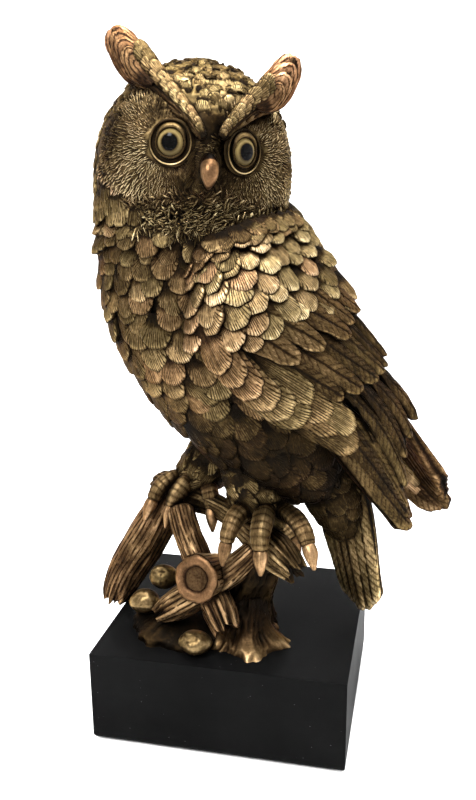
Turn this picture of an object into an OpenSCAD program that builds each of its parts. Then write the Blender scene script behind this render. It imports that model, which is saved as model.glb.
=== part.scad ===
// Owl figurine: an eared owl perched on driftwood, cast in bronzed resin, on a square plinth.
// Millimetres. +Z up, the plinth's front faces -Y, and the origin is the middle of its underside.

/* [Plinth] */
// width of the plinth from left to right
plinth_w = 115; // [90:1:160]
// depth of the plinth from front to back
plinth_d = 106; // [80:1:150]
// height of the plinth's top above the table
plinth_h = 44; // [25:1:70]
// radius of the plinth's lower corners
corner_r = 3; // [1:0.5:6]
// thickness of the felt pad, half of it let into the plinth
felt_t = 0.8; // [0.6:0.2:3]
// distance of the felt's edge from the plinth's edge
felt_inset = 6; // [3:1:12]

/* [Fixings] */
// shank diameter of the two screws that hold the driftwood
screw_d = 4; // [3:0.5:5]
// length of the screws' shanks
screw_l = 42; // [30:1:50]
// distance between the two screws
screw_pitch = 34; // [20:1:50]

/* [Head] */
// width of the head across the cheeks
head_w = 84; // [70:1:95]
// depth of the head from face to nape
head_d = 77; // [65:1:90]
// height of the head from chin to crown
head_h = 78; // [65:1:90]
// turn of the face from the plinth's front, to the right
face_turn = 20.5; // [-10:0.5:45]
// sideways tilt of the face, the left-hand eye up
face_roll = 6.5; // [-5:0.5:10]
// distance between the middles of the eyes
eye_gap = 29.5; // [24:0.5:36]
// how far the middle of the face sits to the owl's left of the head's middle
face_shift = 1.2; // [0:0.1:3]
// how far each eye looks outward
eye_turn = 26.5; // [0:0.5:40]
// radius of each glass eye
eye_r = 5.2; // [4:0.1:7]
// outer radius of the ring around each eye
eye_ring_r = 8.2; // [7:0.2:10]
// height of the beak
beak_h = 12.5; // [9:0.5:16]

/* [Feathers and claws] */
// how far each claw carries on past its toe
claw_l = 9.5; // [6:0.5:13]
// flight feathers in each wing
flight_feathers = 9; // [6:1:11]
// rows of coverts over each wing's shoulder
covert_rows = 4; // [3:1:5]
// long feathers in the tail
tail_blades = 4; // [3:1:6]

/* [Hidden] */
steps = 28; // sides of the round skins
eps = 0.01;
bronze = [0.42, 0.33, 0.16];
copper = [0.66, 0.40, 0.26];
dark_bronze = [0.16, 0.12, 0.07];
black = [0.05, 0.05, 0.055];
head_at = [-18.1, 0, 257.6];

// torso slices from vent to neck: height, middle x, middle y, half length, half width, turn
torso_rows = [
    [104, 27, 5, 9, 11, 20],
    [112, 25, 4, 20, 20, 20],
    [122, 20, 2, 29, 29, 20],
    [136, 13, 0, 36, 34, 20],
    [152, 6, -1, 43, 37, 20],
    [170, 0, -2, 48, 38.5, 22],
    [190, -5, -2, 51, 39.5, 25],
    [206, -10, -1, 49.5, 40.5, 29],
    [220, -15.5, -1, 44.5, 40.5, 34],
    [230, -18.5, -2, 41, 40, 40],
    [240, -19, -2, 33, 33, 45]
];

// three rails along each wing, shoulder to tip: lower edge, middle, upper edge
left_rails = [
    [[-13, -29, 213], [-7, -41, 185], [20, -41.5, 153], [50, -24, 134.5], [79, 7, 88.5]],
    [[4, -37, 228], [19, -44, 203], [38, -39, 176], [58, -17, 144], [78, 8, 95]],
    [[21, -10, 232], [45, 3, 205], [62, 9, 174], [76, 13, 143], [79.5, 11, 97]]
];
right_rails = [
    [[-28, 15, 213], [-28, 29, 185], [-4, 47, 153], [42, 55, 117], [91, 48, 84]],
    [[-19, 30, 226], [-13, 44, 203], [8, 52, 176], [52, 51, 135], [97, 49, 86]],
    [[8, 19, 229], [32, 25, 203], [54, 29, 173], [75, 33, 133], [99, 46, 93]]
];

// driftwood limbs: x, y, z and radius along each
log_rows = [
    [-46, 17, 99, 5], [-40, 13, 100.5, 7.4], [-26, 5, 100, 6.8],
    [-6, -8, 99.5, 5.2], [10, -20, 95.5, 7], [23, -29, 90, 8], [33, -36, 84.5, 6]
];
prop_rows = [
    [-34, 8, 104, 6], [-37, 4, 96, 8.2], [-45, 1, 80, 9.6],
    [-56, -2, 62, 9.4], [-61.5, -4, 50, 8.2], [-63.5, -5, 45, 6]
];
cross_left_rows = [
    [-27, -8, 100, 6], [-22, -15, 90, 6.2], [-12, -26, 77, 6.4], [-3, -35, 66, 7.4], [3, -41, 57, 7.2]
];
cross_right_rows = [
    [14, -27, 91, 5], [5, -30, 82, 6], [-9, -32, 71, 7], [-22, -31, 61, 7], [-31, -29, 54, 5.5]
];
stub_rows = [[-5.5, -24.5, 74.5, 8.8], [-8.5, -34, 77.5, 9.8], [-10.4, -41, 79.6, 10.4]];
// driftwood that stands on the plinth: x, y, height above the plinth and radius
stump_rows = [[5, -13, 0, 16], [5, -14, 8, 13.5], [7, -16, 18, 12], [11, -20, 29, 11], [15, -23, 41, 9]];
root_rows = [[10, -26, 0, 17], [10, -26, 2.5, 14.5], [9, -25, 7, 10.5], [9, -24, 14, 8.5], [10, -23, 22, 6.5]];
mound_rows = [[-22, -18, 0, 25], [-22, -18, 3, 23.5], [-21, -17, 6.5, 18], [-20, -15, 9, 10]];

// each toe: knuckle points and radii, from the ankle to where the claw starts
left_ankle = [15, -17, 103];
right_ankle = [-25, 9, 104];
left_toes = [
    [[11, -21, 107, 4.1], [6, -30, 106.5, 4.2], [3.5, -36, 101.5, 3.8], [2.5, -38, 96, 3.1]],
    [[17, -21, 107, 4.3], [18, -33, 107, 4.5], [18, -40, 102, 4.1], [18.5, -42.5, 95.5, 3.2]],
    [[22, -19, 106, 4.1], [30, -28, 107, 4.3], [35.5, -35.5, 104, 4], [38.5, -39.5, 98.5, 3.1]],
    [[16, -14, 101, 4.2], [21, -8, 96, 4.2], [26, -7, 87, 3.4]]
];
right_toes = [
    [[-28, 7, 108, 4], [-33.5, 1, 109, 4.1], [-38.5, -4, 105.5, 3.8], [-41, -7, 100, 3]],
    [[-24, 6, 108, 4.1], [-25.5, -1, 108.5, 4.2], [-29, -6, 104, 3.9], [-31, -8.5, 98, 3]],
    [[-20, 7, 106, 4], [-15.5, 1, 106.5, 4.1], [-12.5, -5, 103, 3.8], [-11.5, -8, 98, 3]],
    [[-26, 12, 102, 4], [-30, 20, 97, 3.8], [-31, 23, 89, 3.1]]
];

// ---- curves and skins ----

function mix(a, b, t) = a + (b - a) * t;
function unit(v) = v / norm(v);
function along4(a, b, c, d, t) =
    0.5 * (2 * b + (c - a) * t + (2 * a - 5 * b + 4 * c - d) * t * t + (3 * b - a - 3 * c + d) * t * t * t);
// the smooth curve through a list of rows, at t from 0 to 1
function rail(rows, t) =
    let (n = len(rows) - 1, i = min(floor(t * n), n - 1))
    along4(rows[max(i - 1, 0)], rows[i], rows[i + 1], rows[min(i + 2, n)], t * n - i);
function xyz(row) = [row[0], row[1], row[2]];
function middle(ring) = [for (k = [0:2]) [for (p = ring) p[k]] * [for (p = ring) 1] / len(ring)];
// an oval ring about c, whose half axes are the vectors u and v
function hoop(c, u, v, n) = [for (k = [0:n - 1]) c + u * cos(360 * k / n) + v * sin(360 * k / n)];

// a closed skin over rings that follow one another along u x v
module skin(rings) {
    n = len(rings[0]);
    m = len(rings);
    points = [for (r = rings) each r, middle(rings[0]), middle(rings[m - 1])];
    sides = [for (i = [0:m - 2], j = [0:n - 1])
        let (a = i * n + j, b = i * n + (j + 1) % n) each [[a, a + n, b + n], [a, b + n, b]]];
    ends = [for (j = [0:n - 1]) let (k = (j + 1) % n)
        each [[m * n, j, k], [m * n + 1, (m - 1) * n + k, (m - 1) * n + j]]];
    polyhedron(points = points, faces = concat(sides, ends), convexity = 6);
}

// a round limb through rows of x, y, z and radius, with ridges of bark if grain is over 0
module limb(rows, sides = 8, cuts = 0, grain = 0) {
    n = cuts > 0 ? cuts : len(rows) - 1;
    path = [for (i = [0:n]) rail(rows, i / n)];
    skin([for (i = [0:n])
        let (
            dir = unit(xyz(path[min(i + 1, n)]) - xyz(path[max(i - 1, 0)])),
            u = unit(cross(abs(dir[2]) > 0.8 ? [0, 1, 0] : [0, 0, 1], dir)),
            v = cross(dir, u)
        )
        [for (k = [0:sides - 1])
            let (a = 360 * k / sides, r = path[i][3] * (1 + grain * sin(3 * a + 50 * i)))
            xyz(path[i]) + r * (u * cos(a) + v * sin(a))]]);
}

// one feather from root a to tip b: side points across it, w is its half width, bow lifts its middle
module blade(a, b, side, w, t, bow = 0) {
    dir = unit(b - a);
    across = unit(side - dir * (side * dir));
    lift = cross(dir, across);
    shape = [[0, 0.5, 0.6], [0.4, 0.95, 1], [0.8, 0.85, 0.9], [1, 0.3, 0.4]];
    skin([for (s = shape)
        hoop(mix(a, b, s[0]) + lift * bow * sin(180 * s[0]), across * w * s[1], lift * t * s[2], 4)]);
}

// wood that rises from the plinth in level slices, with lobes that twist by turn degrees a slice
module column(rows, sides, lobes, ripple, turn, flat = 1) {
    cuts = 6;
    skin([for (i = [0:cuts]) let (row = rail(rows, i / cuts))
        [for (k = [0:sides - 1])
            let (a = 360 * k / sides, r = row[3] * (1 + ripple * sin(lobes * a + turn * i)))
            [row[0] + r * cos(a), row[1] + r * flat * sin(a), plinth_h + row[2]]]]);
}

// fuses its children into one cast skin
module cast() { resize([0, 0, 0]) union() children(); }

// ---- plinth ----

module rounded_bar(w, h, len, r) {
    // bar along Y with its two lower edges rounded
    rotate([90, 0, 0]) linear_extrude(len, center = true) union() {
        translate([-w / 2, r]) square([w, h - r]);
        translate([-w / 2 + r, 0]) square([w - 2 * r, h]);
        for (s = [-1, 1]) translate([s * (w / 2 - r), r]) circle(r, $fn = 48);
    }
}

module plinth() {
    low = felt_t / 2;
    color(black) difference() {
        translate([0, 0, low]) intersection() {
            rounded_bar(plinth_w, plinth_h - low, plinth_d + 2, corner_r);
            rotate([0, 0, 90]) rounded_bar(plinth_d, plinth_h - low, plinth_w + 2, corner_r);
        }
        translate([felt_inset - plinth_w / 2, felt_inset - plinth_d / 2, -eps])
            cube([plinth_w - 2 * felt_inset, plinth_d - 2 * felt_inset, felt_t + eps]);
        at_screws() {
            translate([0, 0, felt_t - eps]) cylinder(d = screw_d * 2.2, h = screw_head_z, $fn = 32);
            cylinder(d = screw_d + 0.4, h = plinth_h + 1, $fn = 32);
        }
    }
}

screw_head_z = 12; // depth of the counterbore over the felt
screw_mid = [-8, -14]; // between the two screws, under the driftwood

module at_screws() {
    for (s = [-1, 1]) translate([screw_mid[0] + s * screw_pitch / 2, screw_mid[1], 0]) children();
}

module felt_pad() {
    color([0.08, 0.09, 0.08])
        translate([felt_inset - plinth_w / 2 + 0.2, felt_inset - plinth_d / 2 + 0.2, 0])
        cube([plinth_w - 2 * felt_inset - 0.4, plinth_d - 2 * felt_inset - 0.4, felt_t]);
}

module screw() {
    head_t = 3;
    translate([0, 0, felt_t + screw_head_z - head_t]) difference() {
        union() {
            cylinder(d = screw_d * 2, h = head_t, $fn = 32);
            cylinder(d = screw_d, h = screw_l, $fn = 32);
        }
        translate([0, 0, -eps]) cylinder(d = screw_d * 0.7, h = head_t * 0.6, $fn = 6);
    }
}

module fixing_screws() { color([0.6, 0.6, 0.6]) at_screws() screw(); }

// ---- driftwood ----

module driftwood_mound() { color(dark_bronze) column(mound_rows, 24, 4, 0.05, 20, 0.95); }
module stump() { color(dark_bronze) column(stump_rows, 16, 3, 0.09, 30); }
// wavy bark that runs out over the plinth from the stump
module root_flare() { color(bronze) column(root_rows, 30, 5, 0.13, 14, 0.8); }
module perch_log() { color(bronze) limb(log_rows, 12, 14, 0.07); }
module prop_branch() { color(bronze) limb(prop_rows, 10, 10, 0.09); }
module left_cross_branch() { color(bronze) limb(cross_left_rows, 10, 9, 0.08); }
module right_cross_branch() { color(bronze) limb(cross_right_rows, 10, 9, 0.08); }

module sawn_stub() {
    face = xyz(stub_rows[2]);
    dir = unit(face - xyz(stub_rows[0]));
    color(copper) cast() difference() {
        limb(stub_rows, 20);
        limb([concat(face - dir * 1.5, 4.9), concat(face + dir * 2, 4.9)], 16);
    }
}

module sawn_stub_heart() {
    face = xyz(stub_rows[2]);
    dir = unit(face - xyz(stub_rows[0]));
    color(dark_bronze) limb([concat(face - dir * 1.5, 4.7), concat(face - dir * 0.4, 4.3)], 16);
}

module pebble(at, r, squash) {
    color(bronze) translate(at) rotate([0, 0, 25]) cast() scale([1, squash, squash]) sphere(r, $fn = 14);
}
module left_pebble() { pebble([-41, -22, 55.5], 6.8, 0.95); }
module back_pebble() { pebble([-34, -14, 65], 6.6, 0.9); }
module front_pebble() { pebble([-11, -42.5, 49.5], 6.8, 0.75); }

// ---- torso and legs ----

module torso_shape() {
    cuts = 20;
    skin([for (i = [0:cuts])
        let (row = rail(torso_rows, i / cuts), c = cos(row[5]), s = sin(row[5]))
        hoop([row[1], row[2], row[0]], [c, s, 0] * row[3], [-s, c, 0] * row[4], steps)]);
}

// rows of breast feathers, shingled downwards over the front of the torso
module breast_scales() {
    for (row = [0:7]) let (z = 228 - row * 14.5, t = torso_t(z))
        for (k = [-3:3]) let (
            r = rail(torso_rows, t),
            low = rail(torso_rows, torso_t(z - 17)),
            a = r[5] + 180 + k * 21 + (row % 2) * 10.5,
            top = oval_at(r, a, 0.97),
            end = oval_at(low, a, 1.035)
        ) blade(top, end, [-sin(a), cos(a), 0], 8.2, 2, 1.2);
}
function torso_t(z) = let (n = len(torso_rows) - 1)
    [for (i = [0:n - 1]) if (z >= torso_rows[i][0] && z < torso_rows[i + 1][0])
        (i + (z - torso_rows[i][0]) / (torso_rows[i + 1][0] - torso_rows[i][0])) / n][0];
function oval_at(row, a, grow) =
    let (c = cos(row[5]), s = sin(row[5]), ca = cos(a - row[5]), sa = sin(a - row[5]))
    [row[1], row[2], row[0]] + grow * ([c, s, 0] * row[3] * ca + [-s, c, 0] * row[4] * sa);

module torso() { color(bronze) torso_shape(); }
module breast_feathers() { color(bronze) cast() breast_scales(); }

// the back between the wings
mantle_rows = [
    [-6.5, 3, 231, 19], [1, 5, 225, 24], [12, 8, 209, 25], [26, 12, 186, 23], [38, 16, 160, 18],
    [49, 18, 136, 12]
];
module mantle() {
    color(bronze) limb(mantle_rows, 16, 10);
}

module thigh(ankle, hip) {
    limb([concat(hip, 11), concat(mix(hip, ankle, 0.35), 12.5), concat(mix(hip, ankle, 0.7), 10.5),
        concat(ankle + [0, 0, 5], 7)], 14, 6, 0.04);
}
left_hip = [5, -15.5, 129];
right_hip = [-8, 8, 130];
module left_thigh() { color(bronze) thigh(left_ankle, left_hip); }
module right_thigh() { color(bronze) thigh(right_ankle, right_hip); }

// four toes that spring from one shank
module foot(toes, ankle) {
    cast() {
        for (toe = toes) limb(toe, 8, 7);
        limb([concat(ankle + [0, 1, 9], 6.5), concat(ankle + [0, 0, 4], 6.2),
            concat(ankle + [1, -2, -1], 4.5)], 10, 4);
    }
}
module left_foot() { color(bronze) foot(left_toes, left_ankle); }
module right_foot() { color(bronze) foot(right_toes, right_ankle); }

// a hooked claw that carries on where each toe ends
module claws(toes) {
    cast() for (toe = toes) let (
        n = len(toe) - 1,
        end = xyz(toe[n]),
        dir = unit(end - xyz(toe[n - 1])),
        out = unit([dir[0], dir[1], 0] + [0.001, 0, 0]),
        r = toe[n][3]
    ) limb([concat(end, r * 0.8), concat(end + dir * 4 + out * 0.6, r * 0.72),
        concat(end + dir * 0.7 * claw_l, r * 0.5), concat(end + dir * claw_l - out * 1.5, r * 0.16)], 8, 6);
}
module left_claws() { color(copper) claws(left_toes); }
module right_claws() { color(copper) claws(right_toes); }

// ---- tail and wings ----

tail_root = [45.5, 4, 112];
tail_tip = [60, 9, 48];
tail_across = unit([0.92, -0.38, 0.05]);

module tail_feathers() {
    color(bronze) cast() for (k = [0:tail_blades - 1])
        let (f = k / (tail_blades - 1) - 0.5)
        blade(tail_root + tail_across * 19 * f,
            tail_tip + tail_across * 13 * f + [0, 0, 18 * abs(f) - 4 * f],
            tail_across, 6.8, 2.6, 2 - 3 * abs(f));
}

module tail_coverts() {
    color(dark_bronze) cast() for (k = [-1:1])
        blade(tail_root + [-8, -1, 14] + tail_across * 8 * k,
            mix(tail_root, tail_tip, 0.32) + tail_across * 9 * k, tail_across, 8, 4.5, 2);
}

// a point on a wing: s runs from shoulder to tip, t from the lower to the upper edge
function wing_point(rails, s, t) =
    2 * (t - 0.5) * (t - 1) * rail(rails[0], s) - 4 * t * (t - 1) * rail(rails[1], s)
    + 2 * t * (t - 0.5) * rail(rails[2], s);
// the wing's outward direction there: side is 1 on the left wing and -1 on the right
function wing_out(rails, side, s, t) =
    side * unit(cross(wing_point(rails, min(s + 0.02, 1), t) - wing_point(rails, max(s - 0.02, 0), t),
        wing_point(rails, s, min(t + 0.02, 1)) - wing_point(rails, s, max(t - 0.02, 0))));

module wing_blade(rails, side, s0, t0, s1, t1, w, th, lift) {
    across = wing_point(rails, s0, min(t0 + 0.1, 1)) - wing_point(rails, s0, max(t0 - 0.1, 0));
    blade(wing_point(rails, s0, t0) + wing_out(rails, side, s0, t0) * lift[0],
        wing_point(rails, s1, t1) + wing_out(rails, side, s1, t1) * lift[1], side * across, w, th, lift[2]);
}

// the upper feathers of the fan are shorter than the lowest by this part of the wing
module flight_feathers(rails, side, shorter) {
    cast() for (k = [0:flight_feathers - 1]) let (f = k / (flight_feathers - 1))
        wing_blade(rails, side, 0.36, 0.1 + 0.86 * f, 1 - shorter * pow(f, 1.3), 0.15 + 0.82 * f,
            7.6 - 1.6 * f, 2.4, [-2, -1 + 0.8 * f, 2]);
}

// the shoulder's pad, then rows of coverts that grow towards the flight feathers
module wing_coverts(rails, side) {
    cast() {
        skin([for (i = [0:4]) let (s = 0.02 + 0.12 * i) [
            for (k = [0:6]) pad_point(rails, side, s, side > 0 ? 1 - k / 6 : k / 6, 0.5),
            for (k = [0:6]) pad_point(rails, side, s, side > 0 ? k / 6 : 1 - k / 6, 5)
        ]]);
        for (row = [0:covert_rows - 1]) let (s = 0.06 + 0.12 * row, n = 5)
            for (k = [0:n - 1]) let (t = 0.06 + 0.88 * (k + (row % 2) * 0.5) / n)
                wing_blade(rails, side, s, t, s + 0.17 + 0.02 * row, t, 7.5, 1.9, [0.3, 1.2, 0.8]);
    }
}
function pad_point(rails, side, s, f, depth) =
    let (t = 0.04 + 0.92 * f) wing_point(rails, s, t) - wing_out(rails, side, s, t) * depth;

module left_flight_feathers() { color(bronze) flight_feathers(left_rails, 1, 0.38); }
module left_wing_coverts() { color(copper) wing_coverts(left_rails, 1); }
module right_flight_feathers() { color(bronze) flight_feathers(right_rails, -1, 0.12); }
module right_wing_coverts() { color(copper) wing_coverts(right_rails, -1); }

// ---- head ----

module at_face() {
    translate(head_at) rotate([0, 0, face_turn]) rotate([0, face_roll, 0]) children();
}
// in the head's own frame the face looks along -Y and the owl's left is +X

module neck_ruff() {
    color(dark_bronze) cast() translate([-19, -2, 233]) rotate([8, 0, 0])
        scale([1, 0.98, 0.26]) sphere(42, $fn = 24);
}

// head slices from chin to crown, as parts of the head's height and width: height, half width
head_rows = [
    [-0.49, 0.14], [-0.435, 0.34], [-0.36, 0.45], [-0.23, 0.495], [-0.06, 0.5],
    [0.1, 0.472], [0.26, 0.405], [0.385, 0.3], [0.465, 0.175], [0.5, 0.05]
];
module head() {
    color(bronze) at_face() skin([for (i = [0:16]) let (row = rail(head_rows, i / 16))
        hoop([0, 0, row[0] * head_h], [row[1] * head_w, 0, 0], [0, row[1] * head_d, 0], 30)]);
}

// a shallow dish of feathers around each eye
module face_disc(side) {
    at_face() translate([side * eye_gap * 0.52, -head_d * 0.335, -3]) rotate([0, 0, side * 14])
        scale([1, 0.45, 1.12]) sphere(19.5, $fn = 16);
}
module left_face_disc() { color(bronze) cast() face_disc(1); }
module right_face_disc() { color(bronze) cast() face_disc(-1); }

left_tuft_rows = [
    [2.4, -36, 263.5, 2], [4.6, -32, 267.6, 3], [10.1, -24, 274.2, 4.8], [16.5, -15.6, 280.2, 6.8],
    [21.3, -8.9, 287.8, 6.9], [24.4, -4.8, 295.7, 3.8]
];
right_tuft_rows = [
    [-4.2, -39.4, 263.5, 2], [-9.4, -35.9, 270.3, 3], [-19.3, -29.5, 279, 5], [-30, -22.8, 287, 7],
    [-39.3, -16, 296, 7.4], [-45.4, -11.2, 303, 6.2], [-48.8, -8.3, 308.6, 3.4]
];
module left_ear_tuft() { color(copper) limb(left_tuft_rows, 10, 9, 0.04); }
module right_ear_tuft() { color(copper) limb(right_tuft_rows, 10, 9, 0.04); }

module beak() {
    color(copper) at_face() translate([1.6 * face_shift, -head_d / 2 - 1.5, -6.5])
        limb([[0, 2.5, beak_h * 0.5, 2], [0, -1.6, beak_h * 0.25, 3.6], [0, -3, 0, 3.8],
            [0, -3.6, -beak_h * 0.28, 2.6], [0, -3.2, -beak_h * 0.5, 0.8]], 12, 9);
}

module at_eye(side) {
    at_face() translate([side * eye_gap / 2 + face_shift, -head_d / 2 + 0.8, 3.2])
        rotate([0, 0, side * eye_turn + 6.5])
        rotate([90, 0, 0]) children();
}
module eye(side) { at_eye(side) translate([0, 0, -3.2]) sphere(eye_r + 0.2, $fn = 36); }
module left_eye() { color([0.3, 0.2, 0.05]) eye(1); }
module right_eye() { color([0.3, 0.2, 0.05]) eye(-1); }
module eye_ring(side) {
    at_eye(side) rotate_extrude($fn = 36) union() {
        translate([eye_ring_r - 1, 1]) circle(1, $fn = 20);
        translate([eye_r + 0.3, -2.5]) square([eye_ring_r - eye_r - 0.3, 3.5]);
    }
}
module left_eye_ring() { color(bronze) eye_ring(1); }
module right_eye_ring() { color(bronze) eye_ring(-1); }

// ---- output ----

plinth();
felt_pad();
fixing_screws();
driftwood_mound();
perch_log();
prop_branch();
left_cross_branch();
right_cross_branch();
sawn_stub();
sawn_stub_heart();
stump();
root_flare();
left_pebble();
back_pebble();
front_pebble();
torso();
breast_feathers();
mantle();
left_thigh();
right_thigh();
left_foot();
right_foot();
left_claws();
right_claws();
tail_feathers();
tail_coverts();
left_flight_feathers();
left_wing_coverts();
right_flight_feathers();
right_wing_coverts();
neck_ruff();
head();
left_face_disc();
right_face_disc();
left_ear_tuft();
right_ear_tuft();
beak();
left_eye();
right_eye();
left_eye_ring();
right_eye_ring();
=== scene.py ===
import math

import bpy
import numpy as np
from mathutils import Euler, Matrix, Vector


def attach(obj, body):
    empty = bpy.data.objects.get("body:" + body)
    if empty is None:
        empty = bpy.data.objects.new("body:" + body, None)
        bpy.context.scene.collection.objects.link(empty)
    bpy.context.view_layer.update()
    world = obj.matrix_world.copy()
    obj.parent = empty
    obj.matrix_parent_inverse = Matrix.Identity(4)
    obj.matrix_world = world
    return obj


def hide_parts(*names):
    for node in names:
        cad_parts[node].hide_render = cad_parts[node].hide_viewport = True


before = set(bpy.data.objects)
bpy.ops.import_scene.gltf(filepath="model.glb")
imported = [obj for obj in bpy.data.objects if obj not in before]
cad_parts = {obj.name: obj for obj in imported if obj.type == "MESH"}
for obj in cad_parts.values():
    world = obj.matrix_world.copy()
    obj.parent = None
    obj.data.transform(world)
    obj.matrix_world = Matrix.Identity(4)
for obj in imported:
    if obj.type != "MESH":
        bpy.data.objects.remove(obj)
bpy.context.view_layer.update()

MM = 0.001
RNG = np.random.RandomState(11)
DETAIL = 1.0


# ---------------------------------------------------------------- small maths


def vec(*p):
    return np.array(p, dtype=float)


def unit(v):
    n = np.linalg.norm(v)
    return v / n if n > 1e-9 else v


def mix(a, b, t):
    return a + (b - a) * t


def smooth01(x):
    x = np.clip(x, 0.0, 1.0)
    return x * x * (3 - 2 * x)


def rail(rows, t):
    """The smooth curve through a list of rows, at t from 0 to 1."""
    rows = np.asarray(rows, dtype=float)
    n = len(rows) - 1
    i = min(max(int(math.floor(t * n)), 0), n - 1)
    f = t * n - i
    a = rows[max(i - 1, 0)]
    b = rows[i]
    c = rows[i + 1]
    d = rows[min(i + 2, n)]
    bend = (c - a) * f + (2 * a - 5 * b + 4 * c - d) * f * f
    return 0.5 * (2 * b + bend + (3 * b - a - 3 * c + d) * f**3)


def noise(p, seed=0):
    """Smooth noise from -1 to 1 at points p, an array of n by 3."""
    p = np.asarray(p, dtype=float).reshape(-1, 3)
    i = np.floor(p).astype(np.int64)
    f = p - i
    f = f * f * (3 - 2 * f)
    total = np.zeros(len(p))
    for corner in range(8):
        dx = corner & 1
        dy = (corner >> 1) & 1
        dz = corner >> 2
        h = (i[:, 0] + dx) * 73856093 ^ (i[:, 1] + dy) * 19349663 ^ (i[:, 2] + dz) * 83492791
        h = (h + seed * 2654435) & 0x7FFFFFFF
        h = ((h ^ (h >> 13)) * 60493) & 0x7FFFFFFF
        h = (h ^ (h >> 11)) & 0xFFFF
        w = (f[:, 0] if dx else 1 - f[:, 0]) * (f[:, 1] if dy else 1 - f[:, 1])
        w = w * (f[:, 2] if dz else 1 - f[:, 2])
        total += w * (h / 32767.5 - 1)
    return total


def fractal(p, octaves=3, seed=0):
    """Noise of several sizes added up, each half as wide and half as strong as the last."""
    total = 0
    for k in range(octaves):
        total = total + noise(np.asarray(p) * 2.0**k, seed + k) * 0.5**k
    return total


def turns(count):
    """Angles evenly spaced round a full turn."""
    return np.linspace(0, 2 * math.pi, count, endpoint=False)


def axis_frame(mid, out, up):
    """(middle, outward, sideways, upward) unit frame whose outward direction is out."""
    out = unit(out)
    up = unit(up - out * np.dot(up, out))
    return mid, out, np.cross(out, up), up


def ring(place_at, radius, deep, count):
    """Points round a frame's outward axis, deep along it; radius is one number or one for each."""
    mid, out, across, up = place_at
    f = turns(count)[:, None]
    return mid + (across * np.cos(f) + up * np.sin(f)) * np.reshape(radius, (-1, 1)) + out * deep


# ---------------------------------------------------------------- mesh collector


class Skin:
    """Gathers patches of mesh with four painted layers, then makes one object of them.

    relief is how bright the paint is, from rubbed high spots and from painted shade and highlight, tint
    goes from gold to copper, barb places the fibres and vane counts the engraved lines (VANE is added
    where there are any).
    """

    def __init__(self):
        self.points = []
        self.faces = []
        self.relief = []
        self.tint = []
        self.barb = []
        self.vane = []
        self.count = 0

    def add(self, points, faces, relief, tint=0.0, barb=None, vane=0.0):
        n = len(points)
        self.points.append(np.asarray(points, dtype=float))
        self.faces.append(np.asarray(faces, dtype=np.int64) + self.count)
        self.relief.append(np.broadcast_to(np.asarray(relief, dtype=float), n))
        self.tint.append(np.broadcast_to(np.asarray(tint, dtype=float), n))
        self.vane.append(np.broadcast_to(np.asarray(vane, dtype=float), n))
        self.barb.append(np.zeros((n, 3)) if barb is None else np.asarray(barb, dtype=float))
        self.count += n

    def make(self, name, material, slot, nodes=()):
        points = np.concatenate(self.points) * MM
        faces = []
        for f in self.faces:
            faces.extend(f.tolist())
        mesh = bpy.data.meshes.new(name)
        mesh.from_pydata(points.tolist(), [], faces)
        for key, parts in (("relief", self.relief), ("tint", self.tint), ("vane", self.vane)):
            layer = mesh.attributes.new(key, "FLOAT", "POINT")
            layer.data.foreach_set("value", np.concatenate(parts).astype(np.float32))
        layer = mesh.attributes.new("barb", "FLOAT_VECTOR", "POINT")
        layer.data.foreach_set("vector", np.concatenate(self.barb).astype(np.float32).ravel())
        mesh.polygons.foreach_set("use_smooth", np.ones(len(mesh.polygons), dtype=bool))
        mesh.update()
        return place(name, mesh, material, nodes)


def place(name, mesh, material, nodes=()):
    """The object that shows a mesh, told to the frame."""
    obj = bpy.data.objects.new(name, mesh)
    bpy.context.scene.collection.objects.link(obj)
    obj.data.materials.append(material)
    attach(obj, "root")
    if nodes:
        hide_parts(*nodes)
    return obj


def grid_faces(rows, cols, wrap=False):
    """Quads between rows of cols points each, closed round each row if wrap."""
    i = np.arange(rows - 1)[:, None]
    j = np.arange(cols if wrap else cols - 1)[None, :]
    a = i * cols + j
    b = i * cols + (j + 1) % cols
    return np.stack([a, b, b + cols, a + cols], axis=-1).reshape(-1, 4)


# ---------------------------------------------------------------- feathers

VANE = 100.0
# root width, how far the tip is rounded in half widths, where it is widest, how much it narrows
SHAPES = {
    "scale": (0.86, 0.86, 0.40, 0.06),
    "broad": (0.74, 0.95, 0.50, 0.14),
    "long": (0.62, 1.30, 0.45, 0.30),
    "leaf": (0.30, 0.95, 0.60, 0.14),
}


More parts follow.
